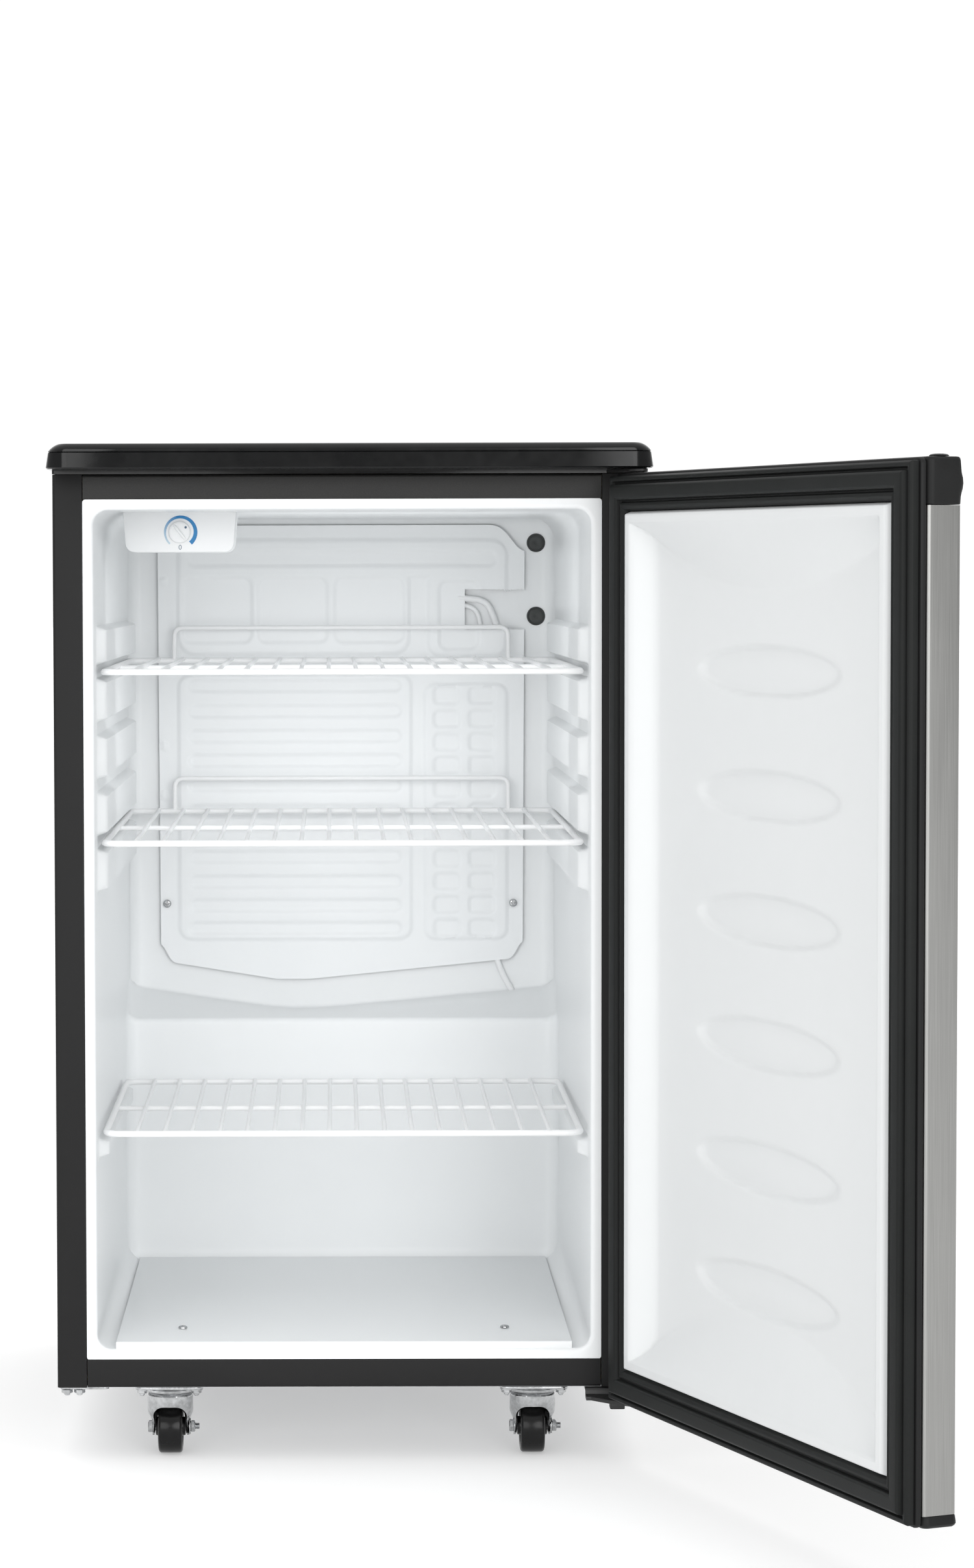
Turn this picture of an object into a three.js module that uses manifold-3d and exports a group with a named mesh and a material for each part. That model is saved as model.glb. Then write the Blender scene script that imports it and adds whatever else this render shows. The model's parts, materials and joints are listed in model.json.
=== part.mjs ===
// A compact upright refrigerator on swivel casters: a foamed steel cabinet with a moulded liner,
// a plate evaporator, three wire shelves and a foamed door that stands open on its right-hand hinge.
// Millimetres, +Z up, the door side faces -Y, and the casters stand on z = 0.

import * as THREE from "three";
import * as BufferGeometryUtils from "three/addons/utils/BufferGeometryUtils.js";
import Module from "manifold-3d";

const wasm = await Module();
wasm.setup();

// ---------------------------------------------------------------- driving dimensions

const GAP = 0.4;
const SHEET = 1.5;

const CAB = { right: 259, front: 0, back: 585, bottom: 67, top: 869.8 };
const OPENING = { centre: -6.5, halfWidth: 218.2, bottom: 99.6, top: 840.1, radius: 14 };
const LINER = {
  wall: 2.5,
  flange: 8.2,
  upperBack: 534,
  lowerBack: 459,
  humpTop: 342,
  draft: 4,
};
const BAY = { front: 492, ceiling: 311 };
const WORKTOP = { halfWidth: 263, front: -50, back: 592, bottom: 873.6, top: 895.4, endRadius: 15.5, noseRadius: 6 };

const SHELF = { halfWidth: 213.3, front: 18, rail: 5.6, wire: 3.6, wires: 16, pitch: 24.6 };
const SHELF_LEVELS = { top: 698, middle: 547, bottom: 290 };
const SLOT_LEVELS = [698, 646, 596, 547];
const RIB = { reach: 9, front: 26, back: 500, slot: 12 };

const DOOR = {
  pinX: 250.9,
  pinY: -33.1,
  openAngle: 112,
  left: -508.5,
  right: 7,
  bottom: 61.4,
  top: 869,
  skinFront: -15,
  skinBack: 14.5,
  frameBack: 20,
  gasketBack: 31.6,
  rimBack: 29,
  margin: 34,
  dishDepth: 16,
  topCap: 36,
  bottomCap: 9,
};

const PIN_RADIUS = 3.6;

const CASTER = {
  x: 161,
  frontY: 29,
  rearY: 545,
  trail: 14,
  wheelRadius: 23.8,
  treadHalf: 9.8,
  wheelHalf: 11.4,
  forkHalf: 19.6,
  plateWidth: 60,
  plateDepth: 52,
};

// ---------------------------------------------------------------- solids

function asSolid(geometry) {
  const bare = geometry.index ? geometry.toNonIndexed() : geometry.clone();
  for (const name of Object.keys(bare.attributes)) {
    if (name !== "position") {
      bare.deleteAttribute(name);
    }
  }
  const merged = BufferGeometryUtils.mergeVertices(bare, 1e-4);
  return new wasm.Manifold(new wasm.Mesh({
    numProp: 3,
    vertProperties: new Float32Array(merged.attributes.position.array),
    triVerts: new Uint32Array(merged.index.array),
  }));
}

function asGeometry(solid) {
  const mesh = solid.getMesh();
  const geometry = new THREE.BufferGeometry();
  geometry.setAttribute("position", new THREE.BufferAttribute(new Float32Array(mesh.vertProperties), 3));
  geometry.setIndex(new THREE.BufferAttribute(new Uint32Array(mesh.triVerts), 1));
  geometry.computeVertexNormals();
  return geometry;
}

function join(...geometries) {
  return asGeometry(geometries.map(asSolid).reduce((whole, next) => whole.add(next)));
}

function cut(geometry, ...tools) {
  return asGeometry(tools.map(asSolid).reduce((whole, next) => whole.subtract(next), asSolid(geometry)));
}

function common(first, second) {
  return asGeometry(asSolid(first).intersect(asSolid(second)));
}

// ---------------------------------------------------------------- basic shapes

function block([x0, x1], [y0, y1], [z0, z1]) {
  const box = new THREE.BoxGeometry(x1 - x0, y1 - y0, z1 - z0);
  return box.translate((x0 + x1) / 2, (y0 + y1) / 2, (z0 + z1) / 2);
}

const TURNS = {
  x: (geometry) => geometry.rotateZ(-Math.PI / 2),
  y: (geometry) => geometry,
  z: (geometry) => geometry.rotateX(Math.PI / 2),
};

function rod(axis, centre, radius, length, sides = 16) {
  const cylinder = new THREE.CylinderGeometry(radius, radius, length, sides);
  return TURNS[axis](cylinder).translate(...centre);
}

// A turned shape: the profile holds [radius, height] points from one end of the axis to the other.
function turned(axis, centre, profile, sides = 24) {
  const points = profile.map(([radius, height]) => new THREE.Vector2(radius, height));
  return TURNS[axis](new THREE.LatheGeometry(points, sides)).translate(...centre);
}

function roundedRectangle([x0, x1], [y0, y1], radius) {
  const shape = new THREE.Shape();
  shape.moveTo(x0 + radius, y0);
  shape.lineTo(x1 - radius, y0);
  shape.absarc(x1 - radius, y0 + radius, radius, -Math.PI / 2, 0);
  shape.lineTo(x1, y1 - radius);
  shape.absarc(x1 - radius, y1 - radius, radius, 0, Math.PI / 2);
  shape.lineTo(x0 + radius, y1);
  shape.absarc(x0 + radius, y1 - radius, radius, Math.PI / 2, Math.PI);
  shape.lineTo(x0, y0 + radius);
  shape.absarc(x0 + radius, y0 + radius, radius, Math.PI, Math.PI * 1.5);
  return shape;
}

function extruded(shape, length, curveSegments = 3) {
  return new THREE.ExtrudeGeometry(shape, { depth: length, bevelEnabled: false, curveSegments });
}

// A front-view outline in X and Z, carried from y0 to y1.
function alongY(shape, [y0, y1], curveSegments = 3) {
  return extruded(shape, y1 - y0, curveSegments).rotateX(Math.PI / 2).translate(0, y1, 0);
}

// A side-view outline in Y and Z, carried from x0 to x1.
function alongX(shape, [x0, x1], curveSegments = 3) {
  return extruded(shape, x1 - x0, curveSegments).rotateY(Math.PI / 2).rotateX(Math.PI / 2).translate(x0, 0, 0);
}

function alongZ(shape, [z0, z1], curveSegments = 3) {
  return extruded(shape, z1 - z0, curveSegments).translate(0, 0, z0);
}

function frontView(xRange, zRange, radius, yRange, segments = 3) {
  return alongY(roundedRectangle(xRange, zRange, radius), yRange, segments);
}

function outline(points) {
  return new THREE.Shape(points.map(([x, y]) => new THREE.Vector2(x, y)));
}

function tube(points, radius, sides = 8, steps = 24) {
  const section = new THREE.Shape();
  section.absarc(0, 0, radius, 0, Math.PI * 2);
  const path = new THREE.CatmullRomCurve3(points.map((point) => new THREE.Vector3(...point)));
  return new THREE.ExtrudeGeometry(section, { steps, extrudePath: path, curveSegments: sides / 2 });
}

function hexagon(axis, centre, acrossCorners, height) {
  return rod(axis, centre, acrossCorners / 2, height, 6);
}

// ---------------------------------------------------------------- finishes

function finish(color, roughness, metalness) {
  return () => new THREE.MeshStandardMaterial({ color, roughness, metalness });
}

const blackSteel = finish(0x2d2d2f, 0.55, 0.3);
const blackGloss = finish(0x1f2022, 0.2, 0.0);
const blackPlastic = finish(0x262628, 0.5, 0.0);
const whitePlastic = finish(0xeceff0, 0.35, 0.0);
const whiteWire = finish(0xf4f5f5, 0.3, 0.0);
const evaporatorPaint = finish(0xe4e8ea, 0.35, 0.1);
const stainless = finish(0xa3a4a0, 0.35, 1.0);
const zinc = finish(0xb9bbbd, 0.3, 1.0);
const foam = finish(0xe8dfa8, 0.9, 0.0);
const gasketRubber = finish(0x2b2d2f, 0.7, 0.0);
const wheelRubber = finish(0x17181a, 0.3, 0.0);
const galvanised = finish(0x9a9c9e, 0.5, 0.8);
const copper = finish(0xb06a44, 0.35, 1.0);

function part(name, geometry, material) {
  const mesh = new THREE.Mesh(geometry, material());
  mesh.name = name;
  return mesh;
}

// ---------------------------------------------------------------- steel case

const flangeLeft = OPENING.centre - OPENING.halfWidth - LINER.flange;
const flangeRight = OPENING.centre + OPENING.halfWidth + LINER.flange;
const flangeBottom = OPENING.bottom - LINER.flange + 1.5;
const flangeTop = OPENING.top + LINER.flange - 1;
const NEAR = 1.8;

function sidePanel(name, side, flangeEdge) {
  const outer = side * CAB.right;
  const inner = outer - side * SHEET;
  const edge = flangeEdge - side * -GAP / 2;
  const section = outline([
    [outer, CAB.front],
    [outer, CAB.back - SHEET - GAP],
    [inner, CAB.back - SHEET - GAP],
    [inner, CAB.front + SHEET],
    [edge, CAB.front + SHEET],
    [edge, CAB.front],
  ]);
  return part(name, alongZ(section, [CAB.bottom, CAB.top]), blackSteel);
}

function frontRail(name, z0, z1, lipZ) {
  const x = [flangeLeft + GAP, flangeRight - GAP];
  const face = block(x, [CAB.front + 0.6, CAB.front + NEAR], [z0, z1]);
  const lip = block(x, [CAB.front + 1, 22], lipZ);
  return part(name, join(face, lip), blackSteel);
}

function backPanel() {
  const section = outline([
    [CAB.back - SHEET, CAB.top],
    [CAB.back - SHEET, BAY.ceiling + SHEET],
    [BAY.front - SHEET, BAY.ceiling + SHEET],
    [BAY.front - SHEET, CAB.bottom + SHEET + GAP],
    [BAY.front, CAB.bottom + SHEET + GAP],
    [BAY.front, BAY.ceiling],
    [CAB.back, BAY.ceiling],
    [CAB.back, CAB.top],
  ]);
  const inside = CAB.right - SHEET - GAP;
  const sheet = alongX(section, [-inside, inside]);
  return part("back_panel", cut(sheet, ...linePlugPlaces().map(lineHole)), galvanised);
}

function basePanel() {
  const inside = CAB.right - SHEET - GAP;
  const sheet = block([-inside, inside], [NEAR + GAP, BAY.front - SHEET - GAP], [CAB.bottom, CAB.bottom + SHEET]);
  return part("base_panel", sheet, galvanised);
}

function worktop() {
  const { halfWidth, front, back, bottom, top, endRadius, noseRadius } = WORKTOP;
  const face = new THREE.Shape();
  face.moveTo(-halfWidth, bottom);
  face.lineTo(halfWidth, bottom);
  face.lineTo(halfWidth, top - endRadius);
  face.absarc(halfWidth - endRadius, top - endRadius, endRadius, 0, Math.PI / 2);
  face.absarc(-halfWidth + endRadius, top - endRadius, endRadius, Math.PI / 2, Math.PI);
  const side = new THREE.Shape();
  side.moveTo(front, bottom);
  side.lineTo(back, bottom);
  side.lineTo(back, top - 4);
  side.lineTo(back - 4, top);
  side.absarc(front + noseRadius, top - noseRadius, noseRadius, Math.PI / 2, Math.PI);
  const endOn = alongX(side, [-halfWidth - 1, halfWidth + 1], 5);
  const slab = common(alongY(face, [front - 1, back + 1], 8), endOn);
  const lips = [-1, 1].map((end) => {
    const x = [end * (CAB.right + GAP), end * (halfWidth - 0.5)].sort((a, b) => a - b);
    return block(x, [GAP, back - 6], [bottom - 3, bottom + 2]);
  });
  // Ribs under the slab rest on the case, and the front one stops short of the hinge strap.
  const ribLevel = [CAB.top + GAP, bottom + 1];
  const frontRib = block([-254, 212], [2, 5], ribLevel);
  const ribs = [-253, -100, 50, 208].map((x) => block([x, x + 3], [10, back - 12], ribLevel));
  return part("worktop", join(slab, ...lips, frontRib, ...ribs), blackGloss);
}

// ---------------------------------------------------------------- liner and insulation

// Walls draw in towards the back, as moulded sheet does.
function drafted(geometry, amount) {
  const position = geometry.attributes.position;
  for (let index = 0; index < position.count; index += 1) {
    const share = Math.max(0, position.getY(index)) / LINER.upperBack;
    const offset = position.getX(index) - OPENING.centre;
    position.setX(index, OPENING.centre + offset * (1 - (amount / OPENING.halfWidth) * share));
  }
  return geometry;
}

function cavity(grow) {
  const half = OPENING.halfWidth + grow;
  const x = [OPENING.centre - half, OPENING.centre + half];
  const radius = OPENING.radius + grow;
  const start = -5;
  const upper = frontView(x, [LINER.humpTop - grow, OPENING.top + grow], radius, [start, LINER.upperBack + grow]);
  const lower = frontView(x, [OPENING.bottom - grow, OPENING.top + grow], radius, [start, LINER.lowerBack + grow]);
  return join(drafted(upper, LINER.draft), drafted(lower, LINER.draft));
}

function shelfRibs() {
  const ribs = [];
  const half = RIB.slot / 2;
  const spans = SLOT_LEVELS.slice(1).map((level, index) => [level + half, SLOT_LEVELS[index] - half]);
  spans.unshift([SLOT_LEVELS[0] + half, SLOT_LEVELS[0] + 40]);
  spans.push([SLOT_LEVELS.at(-1) - 44, SLOT_LEVELS.at(-1) - half]);
  spans.push([SHELF_LEVELS.bottom - 24, SHELF_LEVELS.bottom - half]);
  for (const side of [-1, 1]) {
    const wall = OPENING.centre + side * (OPENING.halfWidth + 1);
    const face = wall - side * (RIB.reach + 1);
    for (const [z0, z1] of spans) {
      const back = z1 < LINER.humpTop ? LINER.lowerBack - 40 : RIB.back;
      const plan = outline([
        [wall, RIB.front - 10],
        [wall, back],
        [face, back - 10],
        [face, RIB.front],
      ]);
      ribs.push(alongZ(plan, [z0, z1]));
    }
  }
  return ribs;
}

function innerLiner() {
  const flange = frontView([flangeLeft + GAP, flangeRight - GAP], [flangeBottom, flangeTop], 4, [NEAR + GAP, 4.4]);
  const shell = common(cavity(LINER.wall), block([-300, 300], [NEAR + GAP, 600], [0, 900]));
  const hollow = cut(join(flange, shell), cavity(0));
  const ribs = common(join(...shelfRibs()), cavity(LINER.wall / 2));
  const holes = linePlugPlaces().map(lineHole);
  return part("inner_liner", cut(join(hollow, ribs), ...holes), whitePlastic);
}

function cabinetFoam() {
  const inside = CAB.right - SHEET - GAP;
  const lower = CAB.bottom + SHEET + GAP;
  const whole = block([-inside, inside], [24, CAB.back - SHEET - GAP], [lower, CAB.top - GAP]);
  const bay = block([-300, 300], [BAY.front - SHEET - GAP, 600], [0, BAY.ceiling + SHEET + GAP]);
  const holes = linePlugPlaces().map(lineHole);
  return part("cabinet_foam", cut(whole, bay, cavity(LINER.wall + GAP), ...holes), foam);
}

// ---------------------------------------------------------------- things inside the cabinet

const FLOOR_PLATE = { top: 106, thickness: 1.2, halfWidth: 201, front: 5, back: 452, lip: 5.6 };
const FLOOR_SCREWS = { y: 72, halfSpan: 144.5 };

function floorPlate() {
  const { top, thickness, halfWidth, front, back, lip } = FLOOR_PLATE;
  const section = outline([
    [front, top - lip],
    [front + thickness, top - lip],
    [front + thickness, top - thickness],
    [back, top - thickness],
    [back, top],
    [front + 3, top],
    [front, top + 1.5],
  ]);
  const x = [OPENING.centre - halfWidth, OPENING.centre + halfWidth];
  return part("floor_plate", alongX(section, x), whitePlastic);
}

function floorScrews() {
  return [["left", -1], ["right", 1]].map(([name, side]) => {
    const profile = [[0, 0], [4, 0], [3.4, 1.4], [1.6, 2.2], [0, 2.2]];
    const centre = [OPENING.centre + side * FLOOR_SCREWS.halfSpan, FLOOR_SCREWS.y, FLOOR_PLATE.top + GAP];
    return part(`floor_screw_${name}`, turned("z", centre, profile, 12), zinc);
  });
}

const PLATE = {
  front: 527,
  thickness: 2.2,
  top: 832,
  bottom: 396,
  point: 375.5,
  halfTop: 184,
  halfBottom: 180.5,
  notch: { left: 124.3, bottom: 727, top: 767.5 },
};

function evaporatorOutline() {
  const { top, bottom, point, halfTop, halfBottom, notch } = PLATE;
  const shape = new THREE.Shape();
  shape.moveTo(-halfTop, top);
  shape.lineTo(-halfBottom, bottom + 12);
  shape.quadraticCurveTo(-halfBottom, bottom, -halfBottom + 13, bottom - 2);
  shape.lineTo(-66, point);
  shape.lineTo(-32, point);
  shape.lineTo(halfBottom - 30, bottom - 1);
  shape.lineTo(halfBottom - 8, bottom + 2);
  shape.quadraticCurveTo(halfBottom, bottom + 3, halfBottom, bottom + 12);
  shape.lineTo(halfTop - 1, notch.bottom);
  shape.lineTo(notch.left, notch.bottom);
  shape.lineTo(notch.left, notch.top);
  shape.lineTo(halfTop, notch.top);
  shape.lineTo(halfTop, top - 20);
  shape.quadraticCurveTo(halfTop - 4, top - 2, halfTop - 36, top);
  return shape;
}

function onPlate(shape, depth) {
  return alongY(shape, [PLATE.front - depth, PLATE.front + PLATE.thickness]).translate(OPENING.centre, 0, 0);
}

function evaporatorPlate() {
  const raised = 1.6;
  const bosses = [];
  const capsuleLevels = [665, 628, 571, 495, 458];
  for (const level of capsuleLevels) {
    bosses.push(roundedRectangle([-154, 60], [level - 9, level + 9], 8));
  }
  for (const left of [-160, -83.5, -6.6]) {
    bosses.push(roundedRectangle([left, left + 70], [714, 780], 10));
  }
  bosses.push(roundedRectangle([-160, 164], [785, 814], 13));
  const sheet = onPlate(evaporatorOutline(), 0);
  return part("evaporator_plate", join(sheet, ...bosses.map((shape) => onPlate(shape, raised))), evaporatorPaint);
}

function evaporatorScrews() {
  return [["left", -175.8], ["right", 172.5]].map(([name, x]) => {
    const profile = [[0, 0], [1.6, 0], [3.4, 0.8], [4, 2.2], [0, 2.2]];
    const centre = [OPENING.centre + x, PLATE.front - 2.2 - GAP, 452];
    return part(`evaporator_screw_${name}`, turned("y", centre, profile, 12), zinc);
  });
}

function refrigerantLines() {
  const x = OPENING.centre + PLATE.notch.left;
  const y = LINER.upperBack - 4;
  const suction = [[x + 3, y, 758], [x + 16, y, 756], [x + 27, y, 747], [x + 32, y, 732]];
  const capillary = [[x + 3, y, 751], [x + 9, y, 749], [x + 14, y, 742], [x + 16, y, 731]];
  return [
    part("suction_line", tube(suction, 2.6, 8, 10), whitePlastic),
    part("capillary_line", tube(capillary, 1.6, 8, 10), whitePlastic),
  ];
}

function capillarySleeve() {
  const path = [[156, 392], [162, 382], [169, 368], [175, 358]];
  const points = path.map(([x, z]) => [OPENING.centre + x, LINER.upperBack - 3.2, z]);
  return part("capillary_sleeve", tube(points, 2.4, 8, 8), whitePlastic);
}

const HOUSING = { x: -153, halfTop: 51, halfBottom: 48.5, front: 130, back: 205, bottom: 803, top: 839.4 };
const DIAL = { x: HOUSING.x, z: 821, radius: 9.8 };

function thermostatHousing() {
  const { x, halfTop, halfBottom, front, back, bottom, top } = HOUSING;
  const radius = 9;
  const shape = new THREE.Shape();
  shape.moveTo(x + halfTop, top);
  shape.lineTo(x - halfTop, top);
  shape.lineTo(x - halfBottom, bottom + radius);
  shape.quadraticCurveTo(x - halfBottom, bottom, x - halfBottom + radius, bottom);
  shape.lineTo(x + halfBottom - radius, bottom);
  shape.quadraticCurveTo(x + halfBottom, bottom, x + halfBottom, bottom + radius);
  const outer = alongY(shape, [front, back], 5);
  const hollow = block([x - 44, x + 44], [front + 3, back + 5], [bottom + 3, top - 3]);
  const shaftHole = rod("y", [x, front, DIAL.z], 3.2, 12, 12);
  return part("thermostat_housing", cut(outer, hollow, shaftHole), whitePlastic);
}

function thermostatBody() {
  const { x, front } = HOUSING;
  const box = block([x - 20, x + 20], [front + 12, front + 40], [809, 833]);
  return part("thermostat_body", box, galvanised);
}

function thermostatDial() {
  const face = HOUSING.front - GAP;
  const disc = turned("y", [DIAL.x, face, DIAL.z], [[0, -3], [DIAL.radius - 1, -3], [DIAL.radius, -2], [DIAL.radius, 0], [0, 0]], 32);
  const grip = block([-2.2, 2.2], [-5, 0], [-DIAL.radius + 1, DIAL.radius - 1]);
  grip.rotateY(THREE.MathUtils.degToRad(-38)).translate(DIAL.x, face - 0.5, DIAL.z);
  const shaft = rod("y", [DIAL.x, face + 5, DIAL.z], 2.4, 12, 12);
  return part("thermostat_dial", join(disc, grip, shaft), whitePlastic);
}

const LINE_PLUG = { x: 195.8, levels: { upper: 814, lower: 740.5 }, cap: 9.4, stem: 6.2, length: 51 };

function linePlugPlaces() {
  return Object.values(LINE_PLUG.levels).map((z) => [OPENING.centre + LINE_PLUG.x, z]);
}

function lineHole([x, z]) {
  return rod("y", [x, 550, z], LINE_PLUG.stem + GAP, 120, 16);
}

function linePlugs() {
  return Object.entries(LINE_PLUG.levels).map(([name, z]) => {
    const start = LINER.upperBack - GAP;
    const profile = [
      [0, -2.6],
      [LINE_PLUG.cap - 1, -2.6],
      [LINE_PLUG.cap, -1.6],
      [LINE_PLUG.cap, 0],
      [LINE_PLUG.stem, 0],
      [LINE_PLUG.stem, LINE_PLUG.length],
      [0, LINE_PLUG.length],
    ];
    const plug = turned("y", [OPENING.centre + LINE_PLUG.x, start, z], profile, 16);
    return part(`line_plug_${name}`, plug, gasketRubber);
  });
}

// ---------------------------------------------------------------- shelves

function shelf(level, back, guard) {
  const { halfWidth, front, rail, wire, wires, pitch } = SHELF;
  const x0 = OPENING.centre - halfWidth + rail / 2;
  const x1 = OPENING.centre + halfWidth - rail / 2;
  const width = x1 - x0;
  const depth = back - front - rail;
  const middle = (front + back) / 2;
  const radius = rail / 2;
  const pieces = [
    rod("x", [OPENING.centre, front + radius, level], radius, width, 6),
    rod("x", [OPENING.centre, back - radius, level], radius, width, 6),
    rod("x", [OPENING.centre, middle, level - 1.4], radius * 0.8, width, 6),
    rod("y", [x0, middle, level], radius, depth + rail, 6),
    rod("y", [x1, middle, level], radius, depth + rail, 6),
  ];
  for (let index = 0; index < wires; index += 1) {
    const x = OPENING.centre + (index - (wires - 1) / 2) * pitch;
    pieces.push(rod("y", [x, middle, level + 1.8], wire / 2, depth + 2, 4));
  }
  if (guard > 0) {
    const reach = 167;
    const y = back - radius;
    for (const side of [-1, 1]) {
      pieces.push(rod("z", [OPENING.centre + side * reach, y, level + guard / 2], wire / 2, guard, 6));
    }
    pieces.push(rod("x", [OPENING.centre, y, level + guard], wire / 2, reach * 2 + wire * 0.9, 6));
  }
  return join(...pieces);
}

function shelves() {
  const upperBack = 515;
  const lowerBack = 390;
  const guard = 32;
  return [
    part("shelf_top", shelf(SHELF_LEVELS.top, upperBack, guard), whiteWire),
    part("shelf_middle", shelf(SHELF_LEVELS.middle, upperBack, guard), whiteWire),
    part("shelf_bottom", shelf(SHELF_LEVELS.bottom, lowerBack, 0), whiteWire),
  ];
}

// ---------------------------------------------------------------- cooling machinery at the back

const COMPRESSOR = { x: 70, y: 552, bottom: 84, height: 150, radius: 54, stretch: 1.5 };

function compressorRail() {
  const inside = CAB.right - SHEET - GAP;
  const plate = block([-inside, inside], [BAY.front + GAP, CAB.back + 12], [CAB.bottom, CAB.bottom + 2]);
  const lip = block([-inside, inside], [CAB.back + 10, CAB.back + 12], [CAB.bottom, CAB.bottom + 14]);
  return part("compressor_rail", join(plate, lip), galvanised);
}

function compressor() {
  const { x, y, bottom, height, radius, stretch } = COMPRESSOR;
  const shell = turned("z", [0, 0, 0], [
    [0, 0],
    [radius * 0.7, 4],
    [radius * 0.95, 20],
    [radius * 0.97, height * 0.55],
    [radius, height * 0.56],
    [radius, height * 0.6],
    [radius * 0.96, height * 0.62],
    [radius * 0.9, height * 0.85],
    [radius * 0.6, height * 0.97],
    [0, height],
  ], 24).scale(stretch, 0.98, 1).translate(x, y, bottom);
  const foot = block([x - 92, x + 92], [y - 40, y + 34], [bottom - 6, bottom + 6]);
  const rests = [-80, 80].map((offset) => {
    return rod("z", [x + offset, y - 3, CAB.bottom + 2 + GAP + 5], 11, 10 - GAP, 12);
  });
  return part("compressor", join(shell, foot, ...rests), blackPlastic);
}

function relayCover() {
  const edge = COMPRESSOR.x - COMPRESSOR.radius * COMPRESSOR.stretch - 1;
  const box = frontView([edge - 46, edge], [112, 182], 6, [522, 584]);
  return part("relay_cover", box, blackPlastic);
}

function filterDrier() {
  const profile = [[0, -48], [2.5, -48], [2.5, -40], [9, -32], [9, 32], [2.5, 40], [2.5, 48], [0, 48]];
  return part("filter_drier", turned("z", [-150, 560, 170], profile, 12), copper);
}

function dripPan() {
  const x = [COMPRESSOR.x - 78, COMPRESSOR.x + 78];
  const tray = block(x, [500, 596], [246, 272]);
  const hollow = block([x[0] + 3, x[1] - 3], [503, 593], [249, 300]);
  return part("drip_pan", cut(tray, hollow), blackPlastic);
}

const CONDENSER = { y: 603, reach: 205, runs: 12, pitch: 42, lowest: 352, tube: 5, wires: 3, wirePitch: 184 };

// The centre line runs to and fro across the back, with a half-round bend at each end.
function serpentine(offset) {
  const { reach, runs, pitch, lowest } = CONDENSER;
  const points = [[-reach, lowest - offset]];
  for (let run = 0; run + 1 < runs; run += 1) {
    const side = run % 2 === 0 ? 1 : -1;
    const middle = lowest + (run + 0.5) * pitch;
    const radius = pitch / 2 + side * offset;
    for (const degrees of [-90, -45, 0, 45, 90]) {
      const angle = THREE.MathUtils.degToRad(degrees);
      points.push([side * (reach + Math.cos(angle) * radius), middle + Math.sin(angle) * radius]);
    }
  }
  points.push([reach * (runs % 2 === 0 ? -1 : 1), lowest + (runs - 1) * pitch + offset]);
  return points;
}

function condenser() {
  const { y, runs, pitch, lowest, tube: thickness, wires, wirePitch } = CONDENSER;
  const half = thickness / 2;
  const strip = outline([...serpentine(half), ...serpentine(-half).reverse()]);
  const pieces = [alongY(strip, [y - half, y + half])];
  const zRange = [lowest - 8, lowest + (runs - 1) * pitch + 8];
  for (let index = 0; index < wires; index += 1) {
    const x = (index - (wires - 1) / 2) * wirePitch;
    pieces.push(block([x - 1, x + 1], [y + half - 1, y + half + 1], zRange));
  }
  for (const x of [-wirePitch, wirePitch]) {
    for (const z of [lowest + 2 * pitch, lowest + 9 * pitch]) {
      pieces.push(block([x - 5, x + 5], [CAB.back + GAP, y], [z - 5, z + 5]));
    }
  }
  return part("condenser", join(...pieces), blackSteel);
}

function cordInlet() {
  const profile = [[0, 0], [12, 0], [12, 3], [8, 4], [6.5, 14], [4, 14], [4, 3], [0, 3]];
  return part("cord_inlet", turned("y", [-215, CAB.back + GAP, 330], profile, 16), blackPlastic);
}

// ---------------------------------------------------------------- hinges

const TOP_STRAP = { width: 40, thickness: 2.8, back: 60, noseRadius: 8, pinReach: 12 };
const BOTTOM_BRACKET = { left: 206, right: 257, thickness: 3.2, plateBack: 60, stepFront: -0.9 };

// The strap lies on top of the case and under the worktop, and carries the pin in front of it.
function hingeBracketTop() {
  const { width, thickness, back, noseRadius, pinReach } = TOP_STRAP;
  const bottom = CAB.top + GAP;
  const right = DOOR.pinX + 6;
  const strap = block([right - width, right], [DOOR.pinY - 4, back], [bottom, bottom + thickness]);
  const pin = rod("z", [DOOR.pinX, DOOR.pinY, bottom + thickness / 2 - pinReach / 2], PIN_RADIUS, pinReach, 16);
  const nose = rod("z", [DOOR.pinX, DOOR.pinY, bottom + thickness / 2], noseRadius, thickness, 16);
  return part("hinge_bracket_top", join(strap, pin, nose), blackSteel);
}

// A cranked plate: bolted under the case, stepped down in front of it, and reaching under the door to the pin.
function hingeBracketBottom() {
  const { left, right, thickness, plateBack, stepFront } = BOTTOM_BRACKET;
  const under = CAB.bottom - GAP;
  const armTop = DOOR.bottom - 2 * GAP;
  const armBottom = armTop - thickness;
  const plate = block([left, right], [2, plateBack], [under - thickness, under]);
  const step = block([left, right], [stepFront, stepFront + thickness], [armBottom, under]);
  const arm = outline([
    [left, stepFront],
    [right, stepFront],
    [right, DOOR.pinY - 6],
    [DOOR.pinX - 6, DOOR.pinY - 10],
    [left + 18, -26],
  ]);
  const reach = alongZ(arm, [armBottom, armTop]);
  const pin = rod("z", [DOOR.pinX, DOOR.pinY, armTop + 4], PIN_RADIUS, 10, 16);
  const stop = block([left + 20, left + 33], [-27, -12], [armBottom - 5, armBottom + 1]);
  const bolts = [left + 10, right - 11].map((x) => hexagon("z", [x, 30, under - 5], 11, 5));
  return part("hinge_bracket_bottom", join(plate, step, reach, pin, stop, ...bolts), blackSteel);
}

function spareHingePlate() {
  const under = CAB.bottom - GAP;
  const plate = block([-257, -214], [2, 50], [under - 2, under]);
  const bolts = [[-251, 8], [-240, 8]].map(([x, y]) => hexagon("z", [x, y, under - 3.6], 10, 4));
  return part("spare_hinge_plate", join(plate, ...bolts), zinc);
}

// ---------------------------------------------------------------- casters

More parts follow.
